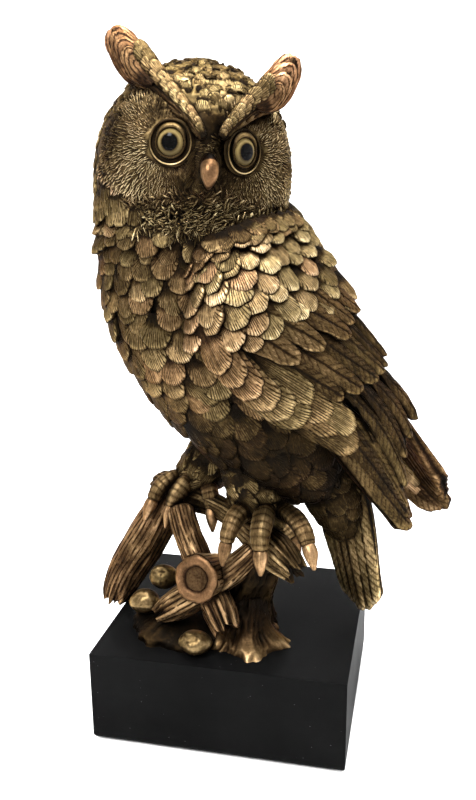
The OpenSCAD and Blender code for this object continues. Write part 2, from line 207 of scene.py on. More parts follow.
def feather(
    skin,
    line,
    normals,
    width,
    kind="scale",
    lift=1.2,
    level=0.0,
    dome=1.0,
    thick=1.4,
    radius=60.0,
    grooves=8,
    cut=0.26,
    tint=0.0,
    bright=1.0,
    rows=10,
    cols=18,
):
    """One feather along a line of points: a domed plate with a rolled rim, grooves and a skirt.

    normals point out of the skin along the line, width is half of the feather's own width, and
    radius is that of the surface under it, across the feather.
    """
    rows = max(6, int(rows * DETAIL))
    cols = max(10, int(cols * DETAIL))
    line = np.asarray(line, dtype=float)
    normals = np.asarray(normals, dtype=float)
    steps = np.linalg.norm(np.diff(line, axis=0), axis=1)
    at = np.concatenate([[0], np.cumsum(steps)])
    length = at[-1]
    base, bulge, peak, narrow = SHAPES[kind]
    v = np.sin(np.linspace(-math.pi / 2, math.pi / 2, cols))
    v = np.concatenate([[-1.0], v, [1.0]])
    u = np.concatenate([np.linspace(0, 1, rows), [1.0]])
    vv, uu = np.meshgrid(v, u)
    edge = np.zeros_like(uu, dtype=bool)
    edge[:, 0] = True
    edge[:, -1] = True
    edge[-1, :] = True
    grow = base + (1 - base) * np.sin(np.minimum(uu / peak, 1) * math.pi / 2)
    taper = 1 - narrow * smooth01((uu - peak) / (1 - peak)) ** 1.5
    x = width * grow * taper * vv
    arc = 1 - np.sqrt(np.maximum(1 - 0.97 * vv**2, 0))
    phase = RNG.rand() * 6.28
    ragged = 0.05 * np.sin(7 * vv + phase) + 0.03 * np.sin(17 * vv + 2 * phase)
    y = length * uu - width * (bulge * arc + ragged) * smooth01(uu)
    z = dome * (1 - vv**2) * (0.4 + 0.6 * uu) + lift * uu**1.4 - 0.5 * (1 - uu)
    rim = np.maximum(smooth01((np.abs(vv) - 0.82) / 0.18), smooth01((uu - 0.9) / 0.1))
    z = z - 0.35 * rim * min(thick, 1.5)
    wave = 0.3 * np.sin(2.3 * vv + phase) + 0.12 * np.sin(6 * uu + phase)
    if kind != "long":
        fan = np.arctan2(vv, 0.35 + 1.1 * uu) / math.atan(1 / 1.2)
        g = np.cos(math.pi * 0.5 * grooves * (fan + 0.15 * wave) + phase) * smooth01((uu - 0.3) / 0.3)
        shaft = 0.3 * np.exp(-(((vv - 0.05 * np.sin(3 * uu + phase)) / 0.07) ** 2)) * (uu < 0.93)
        vane = VANE + 1.4 * grooves * (1 + 0.5 * fan)
        if kind == "leaf":
            shaft = 0 * uu
            vane = VANE + 3.2 * np.hypot(vv, np.maximum((uu - 0.5) / 0.5, 0)) + 0.3
        # painted shade: dark at the root, where the feather above lies over it; the dome and the rim are
        # rubbed brighter
        shade = 0.08 + 0.50 * smooth01((uu - 0.26) / 0.24) + 0.12 * (1 - vv**2)
        shade = shade + 0.24 * smooth01((uu - 0.80) / 0.16) + 0.12 * smooth01((np.abs(vv) - 0.75) / 0.2)
    else:
        slant = 0.82 * np.abs(x) - 0.57 * y
        g = np.cos(2 * math.pi * slant / 4.5 + phase) * smooth01(np.abs(vv) / 0.3)
        shaft = np.exp(-(((vv - 0.06 * np.sin(3 * uu + phase)) / 0.085) ** 2)) * (uu < 0.97)
        vane = 2 * VANE + slant / 2.2
        # painted shade: long feathers are darker towards the root, where the ones above overlap them
        shade = 0.30 + 0.2 * smooth01(uu / 0.6) + 0.14 * (1 - vv**2)
        shade = shade + 0.2 * smooth01((np.abs(vv) - 0.72) / 0.2) + 0.25 * smooth01((uu - 0.9) / 0.08)
    z = z + cut * (0.5 * g - 1.2 * shaft)
    z = z + np.where(edge, -(thick + 0.4), 0.03 * RNG.randn(*z.shape))
    z = z + level - x**2 / (2 * radius)
    x = np.where(edge & (uu < 1), x * 0.94, x)
    shade = shade + 0.06 * g - 0.6 * shaft
    # the skirt is painted black: painted shadow under the feather's edge
    shade = np.where(edge, 0.0, shade * bright + 0.05 * RNG.randn())
    vane = np.where(edge, 0.0, vane).ravel()
    fibre = np.stack([x / 6, y / 6, np.full_like(uu, RNG.rand() * 20)], axis=-1).reshape(-1, 3)

    yy = np.clip(y, 0, length)
    tangent = np.gradient(line, axis=0)
    centre = np.stack([np.interp(yy, at, line[:, k]) for k in range(3)], axis=-1)
    n = np.stack([np.interp(yy, at, normals[:, k]) for k in range(3)], axis=-1)
    d = np.stack([np.interp(yy, at, tangent[:, k]) for k in range(3)], axis=-1)
    d = d / np.linalg.norm(d, axis=-1, keepdims=True)
    n = n - d * np.sum(n * d, axis=-1, keepdims=True)
    n = n / np.linalg.norm(n, axis=-1, keepdims=True)
    side = np.cross(d, n)
    p = centre + x[..., None] * side + z[..., None] * n
    faces = grid_faces(rows + 1, cols + 2)[:, ::-1]
    paint = np.clip(tint + 0.07 * RNG.randn(), 0, 1)
    skin.add(p.reshape(-1, 3), faces, np.clip(shade, 0, 1.4).ravel(), paint, fibre, vane)


def flat_line(root, along, normal, length, radius=60.0, count=6):
    """Points and normals of a line that leaves root and bends over a surface of that radius."""
    n = unit(normal)
    d = unit(along - n * np.dot(along, n))
    angle = np.linspace(0, length / radius, count)[:, None]
    line = root + d * radius * np.sin(angle) - n * radius * (1 - np.cos(angle))
    return line, n * np.cos(angle) + d * np.sin(angle)


def stroke(skin, root, along, normal, length, width, height, relief=1.0, tint=0.0, curl=0.0):
    """A short ridge like a lock of down, pointed at both ends."""
    n = unit(normal)
    d = unit(along - n * np.dot(along, n))
    side = np.cross(d, n)
    points = []
    shade = []
    for t, w, h in ((0.0, 0.1, -0.3), (0.25, 0.8, 0.7), (0.65, 1.0, 1.0), (1.0, 0.2, 0.3)):
        c = root + d * length * t + side * curl * length * t * t
        foot = c - n * 0.4
        points += [foot - side * w * width, c + n * h * height, foot + side * w * width]
        shade += [0.12 * relief, relief * (0.5 + 0.5 * t), 0.12 * relief]
    faces = []
    for i in range(3):
        a = i * 3
        faces += [[a, a + 3, a + 4, a + 1], [a + 1, a + 4, a + 5, a + 2]]
    skin.add(points, faces, shade, tint)


# ---------------------------------------------------------------- lofts along a line


def wound(angle, radius, height):
    """Places on a cylinder, where noise that closes round a body is read."""
    level = np.full(len(angle), height)
    return np.stack([np.cos(angle) * radius, np.sin(angle) * radius, level], axis=1)


def tube(
    skin,
    rows,
    count=60,
    sides=40,
    flat=1.0,
    bark=0.0,
    scutes=0.0,
    lumps=0.0,
    relief=0.55,
    tint=0.0,
    seed=1,
    blunt=True,
    split=0.0,
):
    """A round body along rows of x, y, z, radius, with bark grooves, ring scutes or lumps.

    Its ends are rounded if blunt, and with split the far end is broken off in splinters.
    """
    count = max(12, int(count * DETAIL))
    line = np.array([rail(rows, i / (count - 1)) for i in range(count)])
    centre = line[:, :3]
    tangent = np.gradient(centre, axis=0)
    tangent = tangent / np.linalg.norm(tangent, axis=1, keepdims=True)
    start = vec(0, 0, 1) if abs(tangent[0][2]) < 0.9 else vec(0, 1, 0)
    side = unit(np.cross(tangent[0], start))
    length = np.concatenate([[0], np.cumsum(np.linalg.norm(np.diff(centre, axis=0), axis=1))])
    angle = turns(sides)
    points = []
    shades = []
    barbs = []
    vanes = []
    lines = round(2 * math.pi * float(np.mean(line[:, 3])) / 1.9)
    for i in range(count):
        side = unit(side - tangent[i] * np.dot(side, tangent[i]))
        up = np.cross(side, tangent[i])
        r = line[i][3]
        if blunt:
            ends = (length[i] if split else min(length[i], length[-1] - length[i])) / max(r, 0.1)
            r = r * math.sqrt(max(1 - max(1 - ends * 1.6, 0) ** 2, 0.02))
        coarse = fractal(wound(angle, 1.6, length[i] / 26) + seed * 7.3, 2, seed)
        fine = noise(wound(angle, 6, length[i] / 16) + seed * 3.1, seed + 5)
        ridge = 1 - np.abs(fine)
        grow = r * (1 + lumps * coarse) + bark * (ridge - 0.6) * 1.5
        shade = relief + 0.25 * coarse
        if bark:
            shade = relief - 0.35 + 0.62 * ridge + 0.12 * coarse
        if scutes:
            saw = (length[i] / 2.7) % 1
            hump = math.sin(math.pi * saw) ** 0.3
            grow = grow + scutes * (hump - 0.6) + 0.15 * coarse
            shade = (shade + 0.1) * (0.3 + 0.7 * hump)
        if split:
            near = max(0.0, 1 - (length[-1] - length[i]) / 14)
            cracks = np.maximum(np.sin(angle * 9 + 2 * np.sin(angle * 2 + seed) + seed), 0) ** 2
            jag = np.sin(angle * 5 + seed) + 0.6 * np.sin(angle * 13 + 2 * seed) - 1.2 * cracks
            grow = grow * (1 - near * split * cracks) * (1 - 0.16 * near**3)
            shade = shade - 0.5 * near * cracks + 0.2 * near**2
        around = side * np.cos(angle)[:, None] + up * np.sin(angle)[:, None] * flat
        p = centre[i] + around * grow[:, None]
        if split:
            p = p + tangent[i] * (1.1 * near**2 * jag)[:, None]
        points.append(p)
        shades.append(shade)
        vanes.append(VANE + angle / (2 * math.pi) * lines if bark else 0 * angle)
        barbs.append(wound(angle, r / 3, length[i] / 14))
    points = np.concatenate(points)
    shades = np.clip(np.concatenate(shades), 0, 1)
    body = grid_faces(count, sides, wrap=True)
    skin.add(points, body, shades, tint, np.concatenate(barbs), np.concatenate(vanes))
    for i, flip in ((0, True), (count - 1, False)):
        end = points[i * sides : (i + 1) * sides]
        hub = end.mean(axis=0)
        if split and not flip:
            hub = hub - tangent[i] * 2.5
        cap = np.concatenate([end, [hub]])
        fan = [[k, (k + 1) % sides, sides] for k in range(sides)]
        if not flip:
            fan = [f[::-1] for f in fan]
        worn = np.full(sides + 1, relief * 0.7)
        worn[-1] = 0.1 if split else relief * 0.7
        skin.add(cap, fan, worn, tint)


# ---------------------------------------------------------------- materials


def shader(name):
    material = bpy.data.materials.new(name)
    material.use_nodes = True
    tree = material.node_tree
    return material, tree, tree.nodes["Principled BSDF"]


def node(tree, kind, **settings):
    made = tree.nodes.new(kind)
    for key, value in settings.items():
        if key in made.inputs:
            made.inputs[key].default_value = value
        else:
            setattr(made, key, value)
    return made


def math_node(tree, operation, *values, clamp=False):
    """The output of a math node whose inputs are numbers or other nodes' outputs."""
    made = tree.nodes.new("ShaderNodeMath")
    made.operation = operation
    made.use_clamp = clamp
    for socket, value in zip(made.inputs, values):
        if isinstance(value, (int, float)):
            socket.default_value = value
        else:
            tree.links.new(value, socket)
    return made.outputs[0]


def object_place(tree):
    return node(tree, "ShaderNodeTexCoord").outputs["Object"]


def layer_node(tree, name, output="Fac"):
    """One of the painted layers that Skin stores on a mesh."""
    return node(tree, "ShaderNodeAttribute", attribute_name=name).outputs[output]


def stretched(tree, at, scale):
    made = node(tree, "ShaderNodeMapping")
    made.inputs["Scale"].default_value = scale
    tree.links.new(at, made.inputs["Vector"])
    return made.outputs[0]


def noise_node(tree, at, scale, detail, roughness=0.5):
    made = node(tree, "ShaderNodeTexNoise", Scale=scale, Detail=detail, Roughness=roughness)
    tree.links.new(at, made.inputs["Vector"])
    return made.outputs["Fac"]


def cells_node(tree, at, scale):
    made = node(tree, "ShaderNodeTexVoronoi", Scale=scale)
    tree.links.new(at, made.inputs["Vector"])
    return made.outputs["Distance"]


def mix_node(tree, amount, first, second, blend="MIX"):
    made = node(tree, "ShaderNodeMix", data_type="RGBA", blend_type=blend)
    for socket, value in ((0, amount), (6, first), (7, second)):
        if isinstance(value, (float, tuple)):
            made.inputs[socket].default_value = value
        else:
            tree.links.new(value, made.inputs[socket])
    return made.outputs[2]


def bump(tree, bsdf, height, strength, distance):
    made = node(tree, "ShaderNodeBump", Strength=strength, Distance=distance)
    tree.links.new(height, made.inputs["Height"])
    tree.links.new(made.outputs[0], bsdf.inputs["Normal"])


def ramp_node(tree, source, stops):
    """A colour ramp; each stop is a position and a colour, or one number for a grey."""
    made = tree.nodes.new("ShaderNodeValToRGB")
    ramp = made.color_ramp
    while len(ramp.elements) > 1:
        ramp.elements.remove(ramp.elements[-1])
    for k, (position, colour) in enumerate(stops):
        if isinstance(colour, float):
            colour = (colour, colour, colour)
        element = ramp.elements.new(position) if k else ramp.elements[0]
        element.position = position
        element.color = (*colour, 1)
    tree.links.new(source, made.inputs[0])
    return made.outputs[0]


GOLD = (
    (0.0, (0.004, 0.003, 0.002)),
    (0.22, (0.018, 0.011, 0.004)),
    (0.48, (0.090, 0.063, 0.026)),
    (0.74, (0.30, 0.222, 0.105)),
    (1.0, (0.78, 0.64, 0.37)),
)
COPPER = (
    (0.0, (0.005, 0.003, 0.002)),
    (0.22, (0.030, 0.013, 0.007)),
    (0.48, (0.160, 0.078, 0.038)),
    (0.74, (0.43, 0.235, 0.130)),
    (1.0, (0.88, 0.62, 0.42)),
)


def patina(name, strength=0.86, lift=-0.06, rough=0.3, fibre=0.5, hollows=2.6):
    """Gold and copper wax rubbed over a dark brown ground: bright on ridges, dark in hollows, and darker
    still with painted shade where little sky is seen.
    """
    material, tree, bsdf = shader(name)
    relief = layer_node(tree, "relief")
    tint = layer_node(tree, "tint")
    vane = layer_node(tree, "vane")
    barb = layer_node(tree, "barb", "Vector")
    at = object_place(tree)
    cloud = noise_node(tree, at, 70.0, 4.0, 0.6)
    grit = noise_node(tree, at, 900.0, 3.0, 0.65)
    patchy = noise_node(tree, at, 260.0, 1.0)
    fibres = noise_node(tree, stretched(tree, barb, (7.0, 1.1, 1.0)), 2.2, 4.0, 0.6)
    # an engraved line lies half way between two whole numbers of vane, and wanders with the fibres
    phase = math_node(tree, "FRACT", math_node(tree, "MULTIPLY_ADD", fibres, 0.8, vane))
    centred = math_node(tree, "ABSOLUTE", math_node(tree, "SUBTRACT", phase, 0.5))
    away = math_node(tree, "MULTIPLY", centred, 4.0, clamp=True)
    # the slanted barbs of the long feathers are cut half as deep, and no line is cut everywhere
    slanted = math_node(tree, "MULTIPLY", math_node(tree, "GREATER_THAN", vane, 1.5 * VANE), 0.5)
    engraved = math_node(tree, "SUBTRACT", math_node(tree, "GREATER_THAN", vane, 0.5 * VANE), slanted)
    groove = math_node(tree, "MULTIPLY", math_node(tree, "SUBTRACT", 1.0, away), engraved)
    kept = math_node(tree, "MULTIPLY", math_node(tree, "SUBTRACT", patchy, 0.32), 7.0, clamp=True)
    groove = math_node(tree, "MULTIPLY", groove, kept)
    # ambient occlusion darkens the colour where little sky is seen: the dark wax of the hollows, and
    # painted shade in the gaps under overlapping feathers
    hollow = node(tree, "ShaderNodeAmbientOcclusion", Distance=0.0035)
    hollow.samples = 6
    open_sky = math_node(tree, "POWER", hollow.outputs["AO"], hollows)
    blot = math_node(tree, "MULTIPLY_ADD", cloud, 0.5, -0.25)
    total = math_node(tree, "MULTIPLY_ADD", relief, strength, lift)
    total = math_node(tree, "ADD", total, blot)
    total = math_node(tree, "ADD", total, math_node(tree, "MULTIPLY_ADD", fibres, 0.7, -0.35))
    total = math_node(tree, "ADD", total, math_node(tree, "MULTIPLY_ADD", grit, 0.4, -0.2))
    total = math_node(tree, "MULTIPLY", total, open_sky)
    etched = math_node(tree, "MULTIPLY_ADD", groove, -0.92, 1.0)
    total = math_node(tree, "MULTIPLY", total, etched, clamp=True)
    amount = math_node(tree, "ADD", tint, blot, clamp=True)
    colour = mix_node(tree, amount, ramp_node(tree, total, GOLD), ramp_node(tree, total, COPPER))
    tree.links.new(colour, bsdf.inputs["Base Color"])
    dull = math_node(tree, "MULTIPLY_ADD", total, -0.14, rough + 0.12)
    uneven = math_node(tree, "MULTIPLY_ADD", grit, 0.2, dull, clamp=True)
    tree.links.new(uneven, bsdf.inputs["Roughness"])
    bsdf.inputs["Metallic"].default_value = 0.9
    bsdf.inputs["Specular Tint"].default_value = (0.3, 0.25, 0.18, 1)
    height = math_node(tree, "MULTIPLY", fibres, fibre)
    height = math_node(tree, "ADD", height, math_node(tree, "MULTIPLY", grit, 0.35))
    height = math_node(tree, "SUBTRACT", height, math_node(tree, "MULTIPLY", groove, 0.6))
    bump(tree, bsdf, height, 0.55, 0.0005)
    return material


def eye_material():
    """Painted glass: a black pupil, an olive and gold iris with spokes, and a dark limbus."""
    material, tree, bsdf = shader("painted_glass")
    # on the eyeball relief grows from the middle outwards, and tint from the lower rim upwards
    out = layer_node(tree, "relief")
    high = layer_node(tree, "tint")
    spokes = noise_node(tree, layer_node(tree, "barb", "Vector"), 3.2, 3.0)
    shift = math_node(tree, "MULTIPLY_ADD", spokes, 0.06, math_node(tree, "SUBTRACT", out, 0.03))
    iris = ramp_node(
        tree,
        shift,
        (
            (0.0, (0.002, 0.002, 0.002)),
            (0.55, (0.002, 0.002, 0.002)),
            (0.60, (0.05, 0.035, 0.014)),
            (0.74, (0.17, 0.13, 0.055)),
            (0.88, (0.13, 0.095, 0.038)),
            (0.95, (0.015, 0.01, 0.005)),
        ),
    )
    # glow paints a highlight: the iris is lighter towards the top of the eye and darker at its lower rim
    glow = ramp_node(tree, high, ((0.1, (0.35, 0.33, 0.3)), (0.9, (1.25, 1.2, 1.1))))
    tree.links.new(mix_node(tree, 1.0, iris, glow, "MULTIPLY"), bsdf.inputs["Base Color"])
    bsdf.inputs["Roughness"].default_value = 0.06
    bsdf.inputs["Specular IOR Level"].default_value = 0.025
    bsdf.inputs["Coat Weight"].default_value = 0.03
    bsdf.inputs["Coat Roughness"].default_value = 0.03
    return material


def plinth_material():
    """Black satin lacquer with brush marks and a few pale specks of dust."""
    material, tree, bsdf = shader("black_lacquer")
    at = object_place(tree)
    cloud = noise_node(tree, at, 28.0, 5.0, 0.6)
    marks = noise_node(tree, stretched(tree, at, (25.0, 60.0, 420.0)), 1.0, 3.0)
    speck = math_node(tree, "LESS_THAN", cells_node(tree, at, 330.0), 0.06)
    chosen = math_node(tree, "GREATER_THAN", noise_node(tree, at, 160.0, 0.0), 0.56)
    dust = math_node(tree, "MULTIPLY", math_node(tree, "MULTIPLY", speck, chosen), 0.25)
    black = ramp_node(tree, cloud, ((0.3, 0.0015), (0.7, 0.004)))
    colour = mix_node(tree, dust, black, (0.35, 0.35, 0.36, 1))
    tree.links.new(colour, bsdf.inputs["Base Color"])
    rough = math_node(tree, "MULTIPLY_ADD", cloud, 0.2, 0.42)
    tree.links.new(rough, bsdf.inputs["Roughness"])
    bump(tree, bsdf, math_node(tree, "ADD", marks, cloud), 0.25, 0.0004)
    bsdf.inputs["Specular IOR Level"].default_value = 0.02
    return material


def felt_material():
    material, tree, bsdf = shader("felt")
    fuzz = noise_node(tree, object_place(tree), 1400.0, 4.0, 0.7)
    colour = ramp_node(tree, fuzz, ((0.3, (0.008, 0.01, 0.009)), (0.7, (0.04, 0.045, 0.042))))
    tree.links.new(colour, bsdf.inputs["Base Color"])
    bump(tree, bsdf, fuzz, 0.8, 0.0003)
    bsdf.inputs["Roughness"].default_value = 0.95
    bsdf.inputs["Sheen Weight"].default_value = 0.4
    return material


def zinc_material():
    material, tree, bsdf = shader("zinc")
    spangle = cells_node(tree, object_place(tree), 900.0)
    colour = ramp_node(tree, spangle, ((0.0, (0.42, 0.43, 0.45)), (0.8, (0.66, 0.67, 0.69))))
    tree.links.new(colour, bsdf.inputs["Base Color"])
    rough = math_node(tree, "MULTIPLY_ADD", spangle, 0.25, 0.25)
    tree.links.new(rough, bsdf.inputs["Roughness"])
    bsdf.inputs["Metallic"].default_value = 1.0
    return material


def floor_material():
    material, tree, bsdf = shader("studio_paper")
    grain = noise_node(tree, object_place(tree), 300.0, 3.0)
    colour = ramp_node(tree, grain, ((0.2, 0.93), (0.8, 0.96)))
    tree.links.new(colour, bsdf.inputs["Base Color"])
    bsdf.inputs["Roughness"].default_value = 0.9
    bsdf.inputs["Specular IOR Level"].default_value = 0.1
    return material


PATINA = patina("bronze_patina")
# a dimmer patina: the sawn stub's own dark heart, and painted shade on the stump, the mound and the
# coverts under the tail
DARK_AND_SHADED = patina("dark_patina_and_painted_shade", strength=0.6, rough=0.36)
POLISHED = patina("rubbed_copper", strength=0.9, lift=-0.04, rough=0.22, fibre=0.25, hollows=1.4)
EYE_GLASS = eye_material()


# ---------------------------------------------------------------- torso

# height, middle x and y, half depth, half width, how far the breast is turned in degrees
TORSO = (
    (104, 27, 5, 9, 11, 20),
    (112, 25, 4, 20, 20, 20),
    (122, 20, 2, 29, 29, 20),
    (136, 13, 0, 36, 34, 20),
    (152, 6, -1, 43, 37, 20),
    (170, 0, -2, 48, 38.5, 22),
    (190, -5, -2, 51, 39.5, 25),
    (206, -10, -1, 49.5, 40.5, 29),
    (220, -15.5, -1, 44.5, 40.5, 34),
    (230, -18.5, -2, 41, 40, 40),
    (240, -19, -2, 37, 37, 45),
)
TORSO_Z = [row[0] for row in TORSO]
# the rows of breast scales start and end at these heights
TORSO_TOP = 236.0
TORSO_FOOT = 109.0
NECK_AT = vec(-19, -2, 233)


def torso_row(z):
    """The torso's section at height z: z, middle x and y, half depth, half width, turn."""
    return rail(TORSO, float(np.interp(z, TORSO_Z, np.linspace(0, 1, len(TORSO)))))


def torso_point(a, z, grow=1.0):
    """A torso point at height z; a is in degrees from the breast, positive to the owl's left."""
    row = torso_row(z)
    turn = math.radians(row[5])
    back = vec(math.cos(turn), math.sin(turn), 0)
    left = vec(math.sin(turn), -math.cos(turn), 0)
    t = math.radians(a)
    c = vec(row[1], row[2], z)
    return c + grow * (-back * row[3] * math.cos(t) + left * row[4] * math.sin(t))


def outward(normal, point, centre):
    return normal if np.dot(normal, point - centre) >= 0 else -normal


def surface_frame(point, a, b, da, db, centre):
    """(point, direction of growing a, direction of growing b, outward normal) of point(a, b)."""
    p = point(a, b)
    across = unit(point(a + da, b) - point(a - da, b))
    along = unit(point(a, b + db) - point(a, b - db))
    return p, across, along, outward(unit(np.cross(across, along)), p, centre)


def plumage(skin, point, along, normal, length, width, wander=9, **options):
    """One body feather at a surface point, with a little seeded variety."""
    turn = math.radians(wander) * RNG.randn()
    n = unit(normal)
    d = unit(along - n * np.dot(along, n))
    d = d * math.cos(turn) + np.cross(n, d) * math.sin(turn)
    scale = 1 + 0.1 * RNG.randn()
    line, normals = flat_line(point, d, n, length * scale, options.pop("bend", 55.0))
    options.setdefault("lift", 1.5)
    options["bright"] = options.get("bright", 1.0) * (1 + 0.08 * RNG.randn())
    feather(skin, line, normals, width * (1 + 0.08 * RNG.randn()), **options)


def throat(p):
    """True on the front of the neck, under the chin: an arc that is lowest in its middle."""
    off = (math.atan2(p[0] - NECK_AT[0], NECK_AT[1] - p[1]) - 0.55) / 0.85
    return abs(off) < 1 and p[2] > 229 + 8 * off**2


def curled(skin, root, way, n, glow):
    """One short lock of the curled down under the chin."""
    stroke(skin, root, way, n, 3 + 1.6 * RNG.rand(), 0.9, 1.6, relief=glow, curl=0.7 * RNG.randn())


def breast_plumage():
    skin = Skin()
    rows = 30
    cols = 40
    heights = np.linspace(TORSO[0][0], TORSO[0][0] + 135, rows)
    rings = [[torso_point(360 * j / cols, z, 0.97) for j in range(cols)] for z in heights]
    skin.add(np.array(rings).reshape(-1, 3), grid_faces(rows, cols, wrap=True), 0.12)
    z = TORSO_TOP
    k = 0
    while z > TORSO_FOOT:
        low = smooth01((TORSO_TOP - z) / 50)
        pitch = mix(5.0, 7.4, low)
        width = mix(4.6, 6.6, low)
        row = torso_row(z)
        around = math.pi * (row[3] + row[4])
        spots = max(5, int(around / (width * 1.66)))
        for j in range(spots):
            a = 360 * (j + 0.5 * (k % 2) + 0.12 * RNG.randn()) / spots
            a = (a + 180) % 360 - 180
            # the wings hide these stretches
            if 78 < a < 138 and 171 < z < 215 or -150 < a < -85 and 140 < z < 215:
                continue
            p = torso_point(a, z + 0.9 * RNG.randn())
            if throat(p):
                continue
            _, across, up, n = surface_frame(torso_point, a, z, 3, 2, vec(row[1], row[2], z))
            down = unit(across * 0.3 * math.sin(math.radians(a)) * low - up)
            # painted shade: darker on the sides and the back, lower down the belly, and under the left
            # wing
            front = 1 - smooth01((abs(a) - 70) / 60)
            under = smooth01((a - 15) / 30) * smooth01((175 - z) / 25)
            shade = mix(0.7, 0.86, front) * mix(0.5, 1.0, smooth01((z - 125) / 60)) * (1 - 0.36 * under)
            style = dict(level=0.25 * RNG.randn(), tint=0.06 + 0.12 * max(0.0, RNG.randn()))
            style.update(bright=shade, lift=mix(1.5, 2.2, low), grooves=9, cut=0.14)
            style.update(dome=1.5, thick=1.3, cols=16, rows=9)
            plumage(skin, p, down, n, pitch * 2.15, width, **style)
        z -= pitch
        k += 1
    # short curled down covers the throat
    for k in range(int(3200 * DETAIL)):
        z = mix(227, 239, RNG.rand())
        a = 360 * RNG.rand() - 180
        p = torso_point(a, z)
        if not throat(p + vec(0, 0, 3)):
            continue
        across = surface_frame(torso_point, a, z, 3, 2, NECK_AT)[1]
        n = unit(vec(p[0] - NECK_AT[0], p[1] - NECK_AT[1], 6))
        way = unit(across * (1 if p[0] > -14 else -1) + vec(0, 0, -0.4 + 0.6 * RNG.randn()))
        curled(skin, p + n * 0.5, way, n, 1.0 + 1.6 * RNG.rand())
    return skin.make("breast_plumage", PATINA, "bronze_patina", ("torso", "breast_feathers"))


# ---------------------------------------------------------------- mantle, thighs and ruff


def tube_spot(rows, t, a, guide):
    """(point, tangent, normal) on a tube; a is in degrees round it, 0 being towards guide."""
    row = rail(rows, t)
    ahead = rail(rows, min(t + 0.02, 1.0)) - rail(rows, max(t - 0.02, 0.0))
    d = unit(ahead[:3])
    up = unit(guide - d * np.dot(guide, d))
    side = np.cross(d, up)
    n = up * math.cos(math.radians(a)) + side * math.sin(math.radians(a))
    return row[:3] + n * row[3], d, n


def tube_plumage(skin, path, guide, spread, pitch, width, length, **options):
    """Rows of feathers along a tube, over the part of it within spread degrees of guide."""
    points = np.array([rail(path, i / 40) for i in range(41)])
    steps = np.linalg.norm(np.diff(points[:, :3], axis=0), axis=1)
    at = np.concatenate([[0], np.cumsum(steps)])
    s = 0.0
    k = 0
    while s < at[-1]:
        t = float(np.interp(s, at, np.linspace(0, 1, 41)))
        r = rail(path, t)[3]
        spots = max(3, int(round(math.radians(2 * spread) * r / (width * 1.75))))
        for j in range(spots):
            a = spread * (2 * (j + 0.5 + 0.25 * (1 if k % 2 else -1)) / spots - 1)
            p, d, n = tube_spot(path, t, a, guide)
            plumage(skin, p, d, n, length, width, bend=max(r * 2, 20), **dict(options))
        s += pitch
        k += 1


MANTLE = (
    (-6.5, 3, 231, 19),
    (1, 5, 225, 24),
    (12, 8, 209, 25),
    (26, 12, 186, 23),
    (38, 16, 160, 18),
    (49, 18, 136, 12),
)
THIGHS = {
    "left": ((5, -15.5, 129, 11), (8.5, -16, 120, 12.5), (12, -16.6, 112, 10.5), (15, -17, 105, 7)),
    "right": ((-8, 8, 130, 11), (-14, 8.3, 121, 12.5), (-20, 8.7, 112, 10.5), (-25, 9, 106, 7)),
}
ANKLES = {"left": vec(15, -17, 103), "right": vec(-25, 9, 104)}


def mantle_plumage():
    skin = Skin()
    tube(skin, [(x, y, z, r * 0.96) for x, y, z, r in MANTLE], relief=0.12)
    style = dict(grooves=6, tint=0.08, bright=0.95, cols=16, rows=9, dome=1.3)
    tube_plumage(skin, MANTLE, vec(0.8, 0.3, 0.6), 110, 5.6, 5.6, 12.5, **style)
    return skin.make("mantle_plumage", PATINA, "bronze_patina", ("mantle",))


def thigh_plumage(hand):
    skin = Skin()
    rows = THIGHS[hand]
    tube(skin, rows, relief=0.1, count=30)
    style = dict(grooves=7, bright=0.85, wander=14)
    tube_plumage(skin, rows, vec(-0.3, -1, 0.1), 175, 6.0, 5.2, 12, **style)
    # a fringe of down hangs over the ankle
    end = rail(rows, 0.86)
    locks = int(46 * DETAIL)
    for k in range(locks):
        a = 2 * math.pi * k / locks
        out = vec(math.cos(a), math.sin(a), 0)
        for part in (0.72, 0.95):
            root = end[:3] + out * end[3] * part + vec(0, 0, RNG.rand() * 2)
            way = unit(vec(0, 0, -1) + out * (0.15 + 0.2 * RNG.rand()))
            size = 7 + 3 * RNG.rand()
            stroke(skin, root, way, out, size, 0.75, 0.9, relief=0.62, curl=0.2 * RNG.randn())
    return skin.make(f"{hand}_thigh_plumage", PATINA, "bronze_patina", (f"{hand}_thigh",))


def ruff_point(a, e):
    """A point of the tilted ring round the neck: a goes round from the front, e up from its middle."""
    tilt = math.radians(8)
    x = 40.2 * math.cos(e) * math.sin(a)
    y = -40 * math.cos(e) * math.cos(a)
    z = 11 * math.sin(e)
    back = y * math.cos(tilt) - z * math.sin(tilt)
    rise = y * math.sin(tilt) + z * math.cos(tilt)
    return NECK_AT + vec(x, back, rise)


